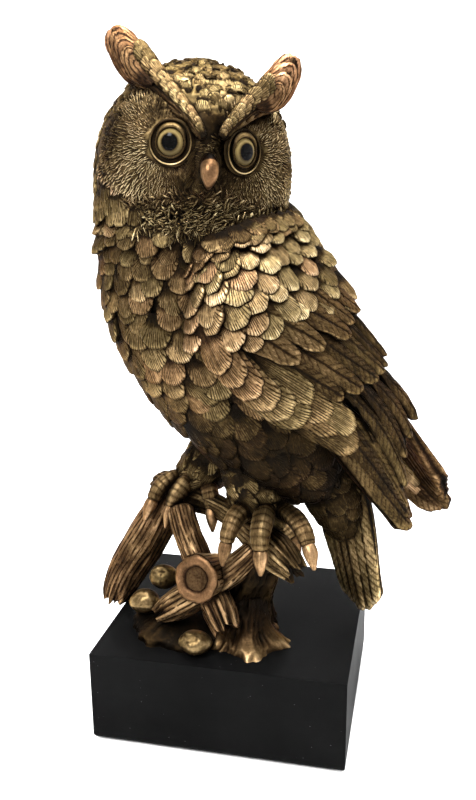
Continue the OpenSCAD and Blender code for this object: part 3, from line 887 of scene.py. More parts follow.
def ruff_plumage():
    skin = Skin()
    rows = 17
    cols = 60
    rings = [[ruff_point(a, e) for a in turns(cols)] for e in np.linspace(1.5, -1.5, rows)]
    skin.add(np.array(rings).reshape(-1, 3), grid_faces(rows, cols, wrap=True), 0.12)
    spots = 34
    for k, e in enumerate((0.45, 0.1, -0.2, -0.5)):
        for j in range(spots):
            a = 2 * math.pi * (j + 0.5 * (k % 2) + 0.1 * RNG.randn()) / spots
            a = (a + math.pi) % (2 * math.pi) - math.pi
            if k < 2 and -0.25 + 0.15 * k < a < 1.38:
                continue
            p, across, up, n = surface_frame(ruff_point, a, e, 0.05, 0.1, NECK_AT)
            style = dict(bend=18.0, grooves=5, lift=1.0, thick=1.2, bright=1.05, tint=0.08)
            plumage(skin, p, -up, n, 9.5, 4.6, **style)
    # under the chin the down is dark, short and curled
    for k in range(int(3000 * DETAIL)):
        a = mix(-0.3, 1.42, RNG.rand())
        e = mix(-0.2, 1.35, RNG.rand())
        p, across, up, n = surface_frame(ruff_point, a, e, 0.05, 0.1, NECK_AT)
        sweep = 1 if a > 0.2 else -1
        way = unit(across * sweep - up * (0.3 + 0.6 * RNG.randn()))
        curled(skin, p + n * 0.6, way, n, 0.8 + 1.4 * RNG.rand())
    return skin.make("ruff_plumage", PATINA, "dark_bronze", ("neck_ruff",))


# ---------------------------------------------------------------- wings

HANDS = {"left": 1, "right": -1}
# each wing's lower edge, middle and upper edge, from the shoulder to the tip
RAILS = {}
RAILS["left"] = (
    ((-13, -29, 213), (-7, -41, 185), (20, -41.5, 153), (50, -24, 134.5), (79, 7, 88.5)),
    ((4, -37, 228), (19, -44, 203), (38, -39, 176), (58, -17, 144), (78, 8, 95)),
    ((21, -10, 232), (45, 3, 205), (62, 9, 174), (76, 13, 143), (79.5, 11, 97)),
)
RAILS["right"] = (
    ((-28, 15, 213), (-28, 29, 185), (-4, 47, 153), (42, 55, 117), (91, 48, 84)),
    ((-19, 30, 226), (-13, 44, 203), (8, 52, 176), (52, 51, 135), (97, 49, 86)),
    ((8, 19, 229), (32, 25, 203), (54, 29, 173), (75, 33, 133), (99, 46, 93)),
)

# each long feather: root s, root t, tip s, tip t, half width, level, shape
FLIGHT = (
    (0.66, 0.62, 1.00, 0.62, 5.0, -0.6, "long"),
    (0.60, 0.24, 0.985, 0.10, 6.6, 0.4, "long"),
    (0.56, 0.30, 0.97, 0.32, 6.0, 0.6, "long"),
    (0.62, 0.40, 0.95, 0.52, 5.6, 0.2, "long"),
    (0.62, 0.60, 0.90, 0.76, 5.2, 0.5, "long"),
    (0.60, 0.70, 0.84, 0.84, 4.8, 0.9, "long"),
    (0.60, 0.82, 0.80, 0.94, 4.4, 1.1, "long"),
    (0.58, 0.92, 0.76, 1.02, 4.0, 1.2, "long"),
    (0.50, 0.16, 0.76, 0.22, 7.6, 1.5, "broad"),
    (0.48, 0.28, 0.715, 0.37, 6.8, 2.3, "broad"),
    (0.38, 0.34, 0.62, 0.50, 6.2, 1.7, "long"),
    (0.38, 0.46, 0.625, 0.66, 6.2, 2.2, "long"),
    (0.38, 0.58, 0.61, 0.80, 5.8, 2.6, "long"),
    (0.36, 0.71, 0.59, 0.87, 4.6, 2.9, "long"),
    (0.36, 0.81, 0.57, 0.91, 4.0, 3.2, "long"),
    (0.35, 0.89, 0.535, 0.94, 3.6, 3.4, "long"),
)
COVERTS = (
    (0.40, 0.24, 0.69, 0.27, 8.2, 1.7, "broad"),
    (0.38, 0.26, 0.64, 0.32, 7.6, 2.1, "broad"),
    (0.33, 0.24, 0.565, 0.33, 7.2, 2.6, "broad"),
    (0.22, 0.28, 0.46, 0.44, 7.2, 3.2, "long"),
    (0.23, 0.42, 0.46, 0.60, 7.0, 3.6, "long"),
    (0.25, 0.58, 0.45, 0.78, 6.4, 3.9, "long"),
    (0.25, 0.73, 0.41, 0.84, 5.4, 4.1, "long"),
    (0.24, 0.84, 0.375, 0.91, 4.8, 4.3, "long"),
)
# the stack of round feathers along the leading edge: how many, tip s of the last and the first
STACK = (6, 0.36, 0.59)


def wing_point(rails, s, t):
    """A point of the wing: s runs from shoulder to tip, t from the lower to the upper edge."""
    low = rail(rails[0], s)
    middle = rail(rails[1], s)
    high = rail(rails[2], s)
    return 2 * (t - 0.5) * (t - 1) * low - 4 * t * (t - 1) * middle + 2 * t * (t - 0.5) * high


def wing_normal(rails, s, t, side):
    ds = wing_point(rails, min(s + 0.02, 1.0), t) - wing_point(rails, max(s - 0.02, 0.0), t)
    dt = wing_point(rails, s, t + 0.04) - wing_point(rails, s, t - 0.04)
    return unit(np.cross(ds, dt)) * side


def wing_feather(skin, rails, side, row, **options):
    s0, t0, s1, t1, width, level, kind = row
    line = []
    normals = []
    for u in np.linspace(0, 1, 9):
        s = mix(s0, s1, u)
        t = mix(t0, t1, u)
        n = wing_normal(rails, s, t, side)
        line.append(wing_point(rails, s, t))
        normals.append(n)
    feather(skin, line, normals, width, kind=kind, level=level, radius=75.0, **options)


def wing_base(skin, rails, side, s0, s1, thickness):
    """The wing's own body under its feathers: two sheets, a little apart."""
    rows = 40
    cols = 18
    faces = grid_faces(rows, cols)
    for depth in (0.0, 1.0):
        grid = []
        for i in range(rows):
            s = mix(s0, s1, i / (rows - 1))
            for j in range(cols):
                t = j / (cols - 1)
                p = wing_point(rails, s, mix(0.03, 0.97, t))
                n = wing_normal(rails, s, t, side)
                bulk = thickness * (0.25 + math.sin(math.pi * t) ** 0.5) * depth
                grid.append(p - n * (1.0 + bulk))
        skin.add(grid, faces, 0.1)


def flight_plumage(hand, tint, reach):
    """The long feathers of a wing, outside and inside; reach draws the short ones towards the tip."""
    skin = Skin()
    rails = RAILS[hand]
    side = HANDS[hand]
    wing_base(skin, rails, side, 0.2, 0.83, 0.5)
    for s0, t0, s1, t1, width, level, kind in FLIGHT:
        # bright below 1 darkens the long feathers: painted shade low on the wing
        options = dict(rows=40, cols=24, grooves=8, cut=0.16, dome=2.0, lift=1.5, thick=1.9, bright=0.75)
        if kind == "broad":
            options.update(rows=22, cols=30, grooves=12, lift=1.4, cut=0.2, bright=0.85)
        if s1 > 0.7:
            s1 = mix(s1, 1.0, reach)
            width = width * (1 + 0.25 * reach)
        outer = (s0, t0, s1, t1, width, level, kind)
        inner = (max(s0, 0.45), t0, s1, t1, width * 1.05, 1.5 + 0.3 * level, kind)
        wing_feather(skin, rails, side, outer, tint=tint + 0.05 * RNG.rand(), **options)
        wing_feather(skin, rails, -side, inner, tint=tint + 0.05 * RNG.rand(), **options)
    return skin.make(f"{hand}_flight_plumage", PATINA, "bronze_patina", (f"{hand}_flight_feathers",))


def covert_plumage(hand):
    """The shoulder: rows of scales, the long coverts under them, and the stack at the front edge."""
    skin = Skin()
    rails = RAILS[hand]
    side = HANDS[hand]
    wing_base(skin, rails, side, 0.0, 0.45, 4.0)
    for row in COVERTS:
        options = dict(rows=22, cols=30, grooves=9, cut=0.2, dome=1.6, lift=1.5, thick=1.5, bright=0.88)
        wing_feather(skin, rails, side, row, tint=0.1 + 0.2 * RNG.rand(), **options)
    count, last_tip, first_tip = STACK
    for u in np.linspace(0, 1, count):
        tip = mix(first_tip, last_tip, u)
        root = tip - mix(0.2, 0.13, u)
        row = (root, 0.14, tip, mix(0.2, 0.12, u), mix(9.0, 7.6, u), mix(2.6, 5.0, u), "scale")
        options = dict(rows=20, cols=34, grooves=11, cut=0.2, dome=2.0, lift=1.6, thick=1.6, bright=0.9)
        wing_feather(skin, rails, side, row, tint=mix(0.05, 0.35, u) + 0.1 * RNG.rand(), **options)
    s = 0.315
    k = 0
    spots = 7
    while s > -0.03:
        for j in range(spots):
            t = (j + 0.5 + 0.25 * (1 if k % 2 else -1) + 0.1 * RNG.randn()) / spots
            if t < 0.26 and s > 0.27:
                continue
            at = max(s - 0.05, 0.0)
            p = wing_point(rails, at, t)
            ahead = wing_point(rails, at + 0.05, t) - p
            n = wing_normal(rails, max(at, 0.03), max(t, 0.14), side)
            size = mix(5.2, 6.6, smooth01(s / 0.28)) * (1.12 - 0.3 * t)
            level = 3.6 - 1.0 * (s / 0.3) + (1.6 if s < 0.1 else 0.8)
            tint = 0.46 - 0.45 * t - 0.4 * s + 0.15 * RNG.randn()
            style = dict(level=level, tint=tint, bright=mix(0.82, 1.14, smooth01(s / 0.1)))
            style.update(grooves=9, cut=0.14, dome=1.6, lift=2.3)
            plumage(skin, p, ahead, n, size * mix(1.7, 2.1, smooth01(s / 0.12)), size, **style)
        s -= mix(0.028, 0.040, smooth01(s / 0.3))
        k += 1
    return skin.make(f"{hand}_covert_plumage", PATINA, "copper_patina", (f"{hand}_wing_coverts",))


# ---------------------------------------------------------------- tail

TAIL_ROOT = vec(45.5, 4, 112)
TAIL_TIP = vec(60, 9, 48)
TAIL_ACROSS = unit(vec(0.92, -0.38, 0.05))


def tail_plumage():
    skin = Skin()
    down = unit(TAIL_TIP - TAIL_ROOT)
    face = outward(unit(np.cross(TAIL_ACROSS, down)), vec(0, -1, 0), vec(0, 0, 0))
    style = dict(kind="long", rows=46, cols=24, grooves=8, cut=0.2)
    style.update(thick=2.0, tint=0.05, dome=1.9, bright=1.1)
    for k in range(5):
        f = (k - 2) / 2
        root = TAIL_ROOT + TAIL_ACROSS * f * 8.5 + vec(0, 0, 8)
        tip = TAIL_TIP + TAIL_ACROSS * (f * 6.5) + down * (1.5 - 7 * abs(f - 0.2))
        line = [mix(root, tip, u) + face * 1.5 * math.sin(math.pi * u) for u in np.linspace(0, 1, 9)]
        for side in (1, -1):
            level = 1.6 - 0.8 * abs(f) - 0.25 * f * side
            feather(skin, line, [face * side] * 9, 6.2, level=level, radius=45 * side, **style)
    return skin.make("tail_plumage", PATINA, "bronze_patina", ("tail_feathers",))


def tail_covert_plumage():
    skin = Skin()
    rows = ((30, 2, 124, 14), (38, 3, 117, 14.5), (44, 4, 106, 12), (47, 5, 96, 8))
    tube(skin, rows, relief=0.1, count=30)
    # painted shade: the coverts under the tail are dimmed, with bright=0.72 on the dimmer material
    tube_plumage(skin, rows, vec(0.6, -0.7, 0), 175, 7.5, 5.4, 15, kind="broad", grooves=9, bright=0.72)
    return skin.make("tail_covert_plumage", DARK_AND_SHADED, "dark_bronze", ("tail_coverts",))


# ---------------------------------------------------------------- head

HEAD_AT = vec(-18.1, 0, 257.6)
FACE_TURN = math.radians(20.5)
FACE_ROLL = math.radians(6.5)
# how far from the middle and how high the dish round each eye lies
DISH = (15, 2.5)
EYES = {1: vec(15.9, -37.3, 3.0), -1: vec(-13.6, -38.2, 3.4)}
EYE_TILT = {1: math.radians(33), -1: math.radians(20)}
EYE_R = 5.1
# height, half width of the skull
SKULL = (
    (-38, 12),
    (-34, 28.5),
    (-28, 37.5),
    (-18, 41.3),
    (-5, 41.8),
    (8, 39.5),
    (20, 34),
    (30, 25),
    (36, 14.5),
    (39, 3),
)
SKULL_Z = [row[0] for row in SKULL]


def head_matrix():
    """The head's turn about the upright axis, and its roll towards the shoulder before that."""
    s, c = math.sin(FACE_TURN), math.cos(FACE_TURN)
    turn = np.array([[c, -s, 0], [s, c, 0], [0, 0, 1]])
    s, c = math.sin(FACE_ROLL), math.cos(FACE_ROLL)
    roll = np.array([[c, 0, s], [0, 1, 0], [-s, 0, c]])
    return turn @ roll


HEAD_TURN = head_matrix()


def to_world(p):
    return HEAD_AT + HEAD_TURN @ np.asarray(p, dtype=float)


def to_head(p):
    return HEAD_TURN.T @ (np.asarray(p, dtype=float) - HEAD_AT)


def skull_width(z):
    return float(rail(SKULL, float(np.interp(z, SKULL_Z, np.linspace(0, 1, len(SKULL)))))[1])


def face_push(x, z):
    """How far the face stands out of the skull: dished round each eye, ridged between them."""
    push = 0.0
    for side in (-1, 1):
        r = math.hypot(x - side * DISH[0], (z - DISH[1]) * 0.95)
        push -= 3.4 * math.exp(-((r / 8.5) ** 2))
        push += 0.8 * math.exp(-(((r - 21) / 4.0) ** 2))
    push += 2.4 * math.exp(-((x / 5.5) ** 2)) * smooth01((z + 26) / 14) * smooth01((24 - z) / 12)
    return push


def head_local(a, z):
    """A point of the head in its own frame: a is in radians from the face, positive to its left."""
    w = skull_width(z)
    s = math.sin(a)
    c = math.cos(a)
    power = 2.25
    r = 1 / (abs(s) ** power + abs(c) ** power) ** (1 / power)
    x = w * r * s
    y = -0.92 * w * r * c
    front = smooth01((c - 0.2) / 0.4)
    return vec(x, y - face_push(x, z) * front, z)


def head_point(a, z):
    return to_world(head_local(a, z))


def head_frame(a, z):
    return surface_frame(head_point, a, z, 0.03, 1, HEAD_AT)


def face_angle(x, z):
    """The angle a at which the front of the head has that x, by halving."""
    low, high = -1.45, 1.45
    for _ in range(24):
        middle = (low + high) / 2
        if head_local(middle, z)[0] < x:
            low = middle
        else:
            high = middle
    return (low + high) / 2


def cheek_edge(a, z):
    """The angle from the face at which the cheek's strokes give way to the neck's scales."""
    if a < 0:
        return min(max(1.55 + 0.055 * (z + 5), 0.4), 1.55)
    return min(max(1.5 + 0.06 * (z + 21), 0.5), 1.6)


def chin_edge(x):
    """The height under which the face gives way to curled down."""
    return -14.5 - 6.5 * min(abs(x - 2) / 26, 1.0) ** 2


def gap_half(z):
    """Half the width of the valley between the brows, which opens upwards."""
    return 2.5 + 0.62 * (z - 4)


def brow_gap(x, z):
    return z > 4 and abs(x) < gap_half(z)


def skull(skin):
    """The head's own surface: knobbly on the crown, dark between the brows."""
    rows = int(120 * DETAIL)
    cols = int(180 * DETAIL)
    zs = np.linspace(-38, 38.6, rows)
    grid = np.array([[head_point(2 * math.pi * j / cols, z) for j in range(cols)] for z in zs])
    points = grid.reshape(-1, 3)
    height = np.repeat(zs, cols)
    knobs = 1 - 1.7 * np.abs(noise(points / 3.0, 4)) + 0.3 * noise(points / 1.4, 9)
    crown = smooth01((height - 10) / 10)
    fine = fractal(points / 1.5, 2, 6)
    push = crown * 0.7 * (knobs - 0.6) + (1 - crown) * 0.15 * fine
    out = points - HEAD_AT
    out = out / np.linalg.norm(out, axis=1, keepdims=True)
    points = points + out * push[:, None]
    shade = mix(0.45 + 0.3 * fine, 0.54 + 0.22 * np.clip(knobs, 0, 1), crown)
    local = (points - HEAD_AT) @ HEAD_TURN
    valley = (local[:, 2] > 2) & (local[:, 2] < 16) & (local[:, 1] < -8)
    valley = valley & (np.abs(local[:, 0]) < gap_half(local[:, 2]))
    shade = np.where(valley, 0.45 * shade, shade)
    skin.add(points, grid_faces(rows, cols, wrap=True), np.clip(shade, 0, 1.3), 0.05)


def crown_feathers(skin):
    """Small ruffled feathers over the crown, from the brows to the back of the head."""
    for _ in range(int(420 * (0.5 + 0.5 * DETAIL))):
        z = mix(6, 38.4, RNG.rand() ** 0.55)
        a = RNG.rand() * 2 * math.pi
        p, _, _, n = head_frame(a, z)
        q = to_head(p)
        gap = q[1] < -16 and brow_gap(q[0], z) and z < 22
        if z < 22 and q[1] < 0 and not gap:
            continue
        away = unit(HEAD_TURN @ vec(q[0] * 0.02 + 0.3 * RNG.randn(), 1.0, 0.5))
        size = 5.5 + 2.5 * RNG.rand()
        style = dict(bend=16.0, grooves=6, lift=0.7, dome=1.0, thick=0.7, rows=7, cols=10, cut=0.2)
        glow = 0.75 if gap and z < 13 else 1.0 + 0.16 * RNG.rand()
        plumage(skin, p - n * 0.1, away, n, size, 3.2, wander=18, bright=glow, **style)
    for _ in range(int(260 * DETAIL)):
        z = mix(10, 38, RNG.rand() ** 0.6)
        a = RNG.rand() * 2 * math.pi
        p, _, _, n = head_frame(a, z)
        away = unit(HEAD_TURN @ vec(RNG.randn(), 1.0, 0.4))
        q = to_head(p)
        if q[1] < -16 and brow_gap(q[0], z) and z < 22:
            continue
        stroke(skin, p + n * 0.7, away, n, 2.6, 0.4, 0.6, relief=1.1, tint=0.05, curl=0.6 * RNG.randn())


def nape_scales(skin):
    """Small scales that point down on the back and the sides of the head."""
    z = 30.0
    k = 0
    while z > -31:
        w = skull_width(z)
        spots = max(8, int(2 * math.pi * w / 6.4))
        for j in range(spots):
            a = 2 * math.pi * (j + 0.5 * (k % 2)) / spots
            if a > math.pi:
                a -= 2 * math.pi
            if abs(a) < cheek_edge(a, z) - 0.08 + 0.06 * RNG.randn():
                continue
            p, _, up, n = head_frame(a, z + 0.6 * RNG.randn())
            style = dict(bend=30.0, grooves=5, lift=1.1, dome=1.0, thick=1.1)
            style.update(bright=1.05, rows=8, cols=14)
            if z < -14:
                # the lowest rows hang straight down over the ruff
                n = unit(vec(n[0], n[1], mix(n[2], 0.15, smooth01((-14 - z) / 8))))
                up = vec(0, 0, 1)
                style["bend"] = 80.0
            plumage(skin, p, -up, n, 10.5, 4.8, **style)
        z -= 4.2
        k += 1


def chin_down(skin):
    """Curled down that hangs below the face."""
    for _ in range(int(3200 * DETAIL)):
        z = mix(-36, -13, RNG.rand())
        a = 1.35 * (2 * RNG.rand() - 1)
        p, across, _, n = head_frame(a, z)
        if abs(a) > cheek_edge(a, z) + 0.1 or z > chin_edge(to_head(p)[0]):
            continue
        sweep = 1 if a > 0 else -1
        n = unit(vec(n[0], n[1], mix(n[2], 0.0, smooth01((-22 - z) / 5))))
        way = unit(across * sweep + vec(0, 0, -0.5 + 0.6 * RNG.randn()))
        size = 3 + 1.6 * RNG.rand()
        glow = 0.8 + 1.3 * RNG.rand()
        stroke(skin, p, way, n, size, 0.8, 1.4, relief=glow, tint=0.12, curl=0.5 * RNG.randn())


def head_plumage():
    skin = Skin()
    skull(skin)
    crown_feathers(skin)
    nape_scales(skin)
    chin_down(skin)
    return skin.make("head_plumage", PATINA, "bronze_patina", ("head",))


def face_disc(hand):
    """Rings of short strokes that run out from one eye."""
    skin = Skin()
    side = HANDS[hand]
    r = 8.8
    k = 0
    while r < 37:
        step = 0.85 if r < 16 else 1.0
        spots = int(2 * math.pi * r / step * (0.6 + 0.4 * DETAIL))
        for j in range(spots):
            f = 2 * math.pi * (j + 0.5 * (k % 2) + 0.12 * RNG.randn()) / spots
            wavy = r + 0.7 * math.sin(7 * f + 0.7 * k) + 0.25 * RNG.randn()
            x = EYES[side][0] + wavy * math.cos(f)
            z = EYES[side][2] + wavy * math.sin(f)
            if (x - 1) * side < 0.3 or z < -29 or z > 27 or brow_gap(x, z):
                continue
            if abs(x) > 0.965 * skull_width(z):
                continue
            a = face_angle(x, z)
            rim = min(cheek_edge(a, z) - abs(a), (z - chin_edge(x)) / 20)
            if rim < 0:
                continue
            p, across, up, n = head_frame(a, z)
            way = across * math.cos(f) + up * math.sin(f)
            size = 2.8 if r < 16 else 3.5
            outer = side * math.cos(f)
            patch = 0.9 * float(noise(np.array([[x / 9, z / 9, side]]), 3)[0])
            # painted shade: darker above the eye under the brow, on the inner side towards the beak, and
            # low in the middle; patch is tone that changes at random
            bright = 1.9 + patch + 0.3 * outer - 0.5 * smooth01(math.sin(f) - 0.2) + 0.2 * RNG.randn()
            if outer < -0.3:
                bright -= 0.45
            if z < -16 and abs(x) < 16:
                bright *= 0.8
            tall = 0.4 + 0.2 * RNG.rand()
            paint = 0.05 + 0.1 * RNG.rand() + 0.45 * smooth01((0.22 - rim) / 0.2)
            stroke(skin, p, way, n, size, 0.38, tall, relief=bright, tint=paint, curl=0.25 * RNG.randn())
        r += 1.6 if r < 16 else 1.9
        k += 1
    return skin.make(f"{hand}_face_plumage", PATINA, "bronze_patina", (f"{hand}_face_disc",))


# ---------------------------------------------------------------- eyes and beak


def eye_frame(side):
    """(middle, outward, sideways, upward) of one eye, in the world."""
    tilt = EYE_TILT[side]
    out = unit(HEAD_TURN @ vec(side * math.sin(tilt), -math.cos(tilt), 0.04))
    return axis_frame(to_world(EYES[side] + vec(0, 0.2, 0)), out, HEAD_TURN @ vec(0, 0, 1))


def eyeball(hand):
    skin = Skin()
    place_at = eye_frame(HANDS[hand])
    rows = 28
    cols = 64
    f = turns(cols)
    points = []
    radial = []
    height = []
    spokes = []
    for e in np.radians(np.linspace(0, 100, rows)):
        r = EYE_R * 1.12 * math.sin(e)
        points.append(ring(place_at, r, EYE_R * 0.62 * (math.cos(e) - 0.1) - 1.4, cols))
        radial.append(np.full(cols, min(r / EYE_R / 1.1, 1.0) if e < math.pi / 2 else 1.0))
        # height carries the iris's painted highlight, which grows towards the top of the eye
        height.append(0.5 + 0.5 * np.sin(f) * math.sin(e))
        spokes.append(wound(f, 3, r * 0.15))
    faces = grid_faces(rows, cols, wrap=True)[:, ::-1]
    layers = [np.concatenate(part) for part in (radial, height, spokes)]
    skin.add(np.concatenate(points), faces, *layers)
    return skin.make(f"{hand}_eye_glass", EYE_GLASS, "amber_glass", (f"{hand}_eye",))


def wire(skin, place_at, radius, deep, thick, bright_at):
    """A thin round wire about a frame's axis; bright_at gives its paint for each angle round it."""
    mid, out, across, up = place_at
    cols = 96
    sides = 10
    g = turns(sides)[:, None]
    points = []
    shade = []
    for f in turns(cols):
        way = across * math.cos(f) + up * math.sin(f)
        section = way * np.cos(g) * thick + out * np.sin(g) * thick * 0.9
        points.append(mid + way * radius + out * deep + section)
        shade.append(bright_at(f) * (0.5 + 0.5 * np.sin(g[:, 0])))
    near = np.arange(cols * sides).reshape(cols, sides)
    far = np.roll(near, -1, axis=0)
    quads = np.stack([near, far, np.roll(far, -1, axis=1), np.roll(near, -1, axis=1)], axis=-1)
    skin.add(np.concatenate(points), quads.reshape(-1, 4), np.concatenate(shade), 0.1)


def eye_ring(hand):
    """A thin lid line round the eye, a dark gutter, and a brow-side fold above it."""
    skin = Skin()
    place_at = eye_frame(HANDS[hand])
    mid, out, across, up = place_at
    wire(skin, place_at, EYE_R * 1.12, -0.4, 0.55, lambda f: 0.4)
    # the lid line is paler along its lower half and darker along its top: painted shadow of the brow
    wire(skin, place_at, 8.2, -0.5, 0.34, lambda f: 0.62 - 0.4 * math.sin(f))
    # the socket between the eyeball and the lid line
    cols = 96
    gutter = ((5.0, -1.4), (6.6, -1.5), (8.1, -0.9), (9.2, -2.0))
    points = np.concatenate([ring(place_at, r, deep, cols) for r, deep in gutter])
    skin.add(points, grid_faces(len(gutter), cols, wrap=True), 0.36)
    # the golden fold of the upper lid
    points = []
    shade = []
    rows = 9
    cols = 41
    for u in np.linspace(0, 1, cols):
        f = math.radians(mix(8, 172, u))
        fade = max(math.sin(math.pi * u), 0.0) ** 0.6
        for t in np.linspace(0, 1, rows):
            r = mix(EYE_R * 1.02, EYE_R * 1.02 + 2.2 * fade + 0.2, t)
            deep = 0.2 + 1.1 * fade * math.sin(math.pi * t) - 0.6 * t
            points.append(mid + (across * math.cos(f) + up * math.sin(f)) * r + out * deep)
            shade.append(0.25 + 0.45 * math.sin(math.pi * t) * fade)
    skin.add(points, grid_faces(cols, rows), shade, 0.1)
    return skin.make(f"{hand}_eye_lids", PATINA, "bronze_patina", (f"{hand}_eye_ring",))


BEAK = (
    (1.9, -37.2, -1.0, 2.4),
    (1.9, -41.0, -2.6, 3.5),
    (1.9, -43.8, -5.0, 3.9),
    (1.9, -45.2, -7.8, 3.5),
    (1.9, -45.4, -10.6, 2.1),
    (1.9, -44.6, -12.6, 0.5),
)


def beak():
    skin = Skin()
    count = 40
    sides = 32
    points = []
    shade = []
    for i in range(count):
        row = rail(BEAK, i / (count - 1))
        ahead = rail(BEAK, min(1, (i + 1) / (count - 1))) - rail(BEAK, max(0, (i - 1) / (count - 1)))
        across = vec(1, 0, 0)
        up = unit(np.cross(across, unit(ahead[:3])))
        r = row[3]
        for f in turns(sides):
            keel = 1 + 0.22 * max(0.0, math.sin(f)) ** 3
            rim = across * r * 0.92 * math.cos(f) + up * r * keel * math.sin(f)
            points.append(to_world(row[:3] + rim))
            # painted highlight along the keel ridge, and painted shade near the root where the face
            # overhangs it
            shade.append(0.8 + 0.45 * math.sin(f) + (0.1 if i > 12 else -0.3))
    skin.add(points, grid_faces(count, sides, wrap=True), np.clip(shade, 0, 1.3), 0.65)
    # bristles beside it
    for side in (-1, 1):
        for _ in range(int(40 * DETAIL)):
            t = RNG.rand()
            root = to_world(vec(side * (3.2 + 1.6 * RNG.rand()), -40.0 - 2 * t, 3 - 13 * t))
            way = HEAD_TURN @ unit(vec(side * 0.7, -0.1, -0.9))
            stroke(skin, root, way, HEAD_TURN @ vec(side * 0.5, -0.9, 0), 4.5, 0.4, 0.6, relief=0.6)
    return skin.make("beak_horn", POLISHED, "copper_patina", ("beak",))


# ---------------------------------------------------------------- ear tufts

TUFTS = {}
TUFTS["left"] = (
    (2.4, -36, 263.5, 2),
    (4.6, -32, 267.6, 3),
    (10.1, -24, 274.2, 4.8),
    (16.5, -15.6, 280.2, 6.8),
    (21.3, -8.9, 287.8, 6.9),
    (24.4, -4.8, 295.7, 3.8),
)
TUFTS["right"] = (
    (-4.2, -39.4, 263.5, 2),
    (-9.4, -35.9, 270.3, 3),
    (-19.3, -29.5, 279, 5),
    (-30, -22.8, 287, 7),
    (-39.3, -16, 296, 7.4),
    (-45.4, -11.2, 303, 6.2),
    (-48.8, -8.3, 308.6, 3.4),
)


def tuft_line(rows, front, inward, t0, t1, shift, rise):
    """A line along a tuft's face: shift moves it sideways, towards inward, in parts of its radius."""
    line = []
    normals = []
    for u in np.linspace(0, 1, 9):
        t = mix(t0, t1, u)
        row = rail(rows, t)
        ahead = unit(rail(rows, min(1, t + 0.03))[:3] - rail(rows, max(0, t - 0.03))[:3])
        n = unit(front - ahead * np.dot(front, ahead))
        across = unit(inward - ahead * np.dot(inward, ahead) - n * np.dot(inward, n))
        lean = unit(n + across * shift * 0.5)
        line.append(row[:3] + across * row[3] * shift + n * row[3] * rise)
        normals.append(lean)
    return line, normals


def ear_tuft(hand):
    skin = Skin()
    core = [(x, y, z, r * 0.72) for x, y, z, r in TUFTS[hand]]
    # the core is kept dark: painted shade along its lower edge beside the brow
    tube(skin, core, relief=0.15, tint=0.3, bark=0.3, flat=0.75, sides=56, count=80)
    rows = np.array(TUFTS[hand], dtype=float)
    front = unit(HEAD_TURN @ vec(0, -1, 0.15))
    inward = HEAD_TURN @ vec(-HANDS[hand], 0, 0.4)
    # rounded feathers nested in one another towards the tip, the longest behind
    radius = float(np.max(rows[:, 3]))
    style = dict(kind="leaf", lift=0.5, dome=1.2, thick=1.7, grooves=4, cut=0.06, radius=14, bright=0.9)
    for k, t1 in enumerate((0.995, 0.89, 0.78, 0.67)):
        line, normals = tuft_line(rows, front, inward, 0.42, t1, -0.05 - 0.03 * k, 0.3)
        half = radius * (1.06 - 0.12 * k)
        feather(skin, line, normals, half, level=1.1 * k, tint=0.95 - 0.12 * k, rows=34, cols=34, **style)
    # a braid of small bright feathers climbs the inner edge from the beak
    style = dict(lift=0.6, dome=0.5, thick=1.2, grooves=5, cut=0.15, radius=6, rows=10, cols=14)
    t = 0.56
    lane = 1
    while t > 0.0:
        start = max(t - 0.02, 0.0)
        line, normals = tuft_line(rows, front, inward, start, start + 0.12, 0.42 + 0.12 * lane, 0.72)
        half = mix(1.5, 3.0, smooth01(t / 0.5))
        level = 1.8 * smooth01((t - 0.25) / 0.25)
        feather(skin, line, normals, half, level=level, tint=0.1 + 0.1 * RNG.rand(), **style)
        t -= 0.036
        lane = -lane
    # the darker outer side is drawn out in long strokes
    for _ in range(int(420 * DETAIL)):
        t = mix(0.02, 0.6, RNG.rand())
        p, d, n = tube_spot(rows, t, RNG.rand() * 360, front)
        if np.dot(n, front) > 0.45:
            continue
        root = p - n * rail(rows, t)[3] * 0.2
        glow = 0.8 + 0.6 * RNG.rand()
        stroke(skin, root, d, n, 6, 0.7, 0.9, relief=glow, tint=0.1 + 0.7 * t, curl=0.1 * RNG.randn())
    return skin.make(f"{hand}_tuft_plumage", PATINA, "copper_patina", (f"{hand}_ear_tuft",))


# ---------------------------------------------------------------- feet

TOES = {}
TOES["left"] = (
    ((11, -21, 107, 4.1), (6, -30, 106.5, 4.2), (3.5, -36, 101.5, 3.8), (2.5, -38, 96, 3.1)),
    ((17, -21, 107, 4.3), (18, -33, 107, 4.5), (18, -40, 102, 4.1), (18.5, -42.5, 95.5, 3.2)),
    ((22, -19, 106, 4.1), (30, -28, 107, 4.3), (35.5, -35.5, 104, 4), (38.5, -39.5, 98.5, 3.1)),
    ((16, -14, 101, 4.2), (21, -8, 96, 4.2), (26, -7, 87, 3.4)),
)
TOES["right"] = (
    ((-28, 7, 108, 4), (-33.5, 1, 109, 4.1), (-38.5, -4, 105.5, 3.8), (-41, -7, 100, 3)),
    ((-24, 6, 108, 4.1), (-25.5, -1, 108.5, 4.2), (-29, -6, 104, 3.9), (-31, -8.5, 98, 3)),
    ((-20, 7, 106, 4), (-15.5, 1, 106.5, 4.1), (-12.5, -5, 103, 3.8), (-11.5, -8, 98, 3)),
    ((-26, 12, 102, 4), (-30, 20, 97, 3.8), (-31, 23, 89, 3.1)),
)
CLAW = 9.5  # length of a claw


def foot(hand):
    skin = Skin()
    ankle = ANKLES[hand]
    tube(skin, ((*ankle, 7.2), (*(ankle + vec(0, 0, 6)), 7.0)), relief=0.3, count=14)
    for k, toe in enumerate(TOES[hand]):
        tube(skin, toe, count=90, sides=30, scutes=0.3, lumps=0.09, relief=0.52, tint=0.2, seed=k)
    return skin.make(f"{hand}_toes", PATINA, "bronze_patina", (f"{hand}_foot",))


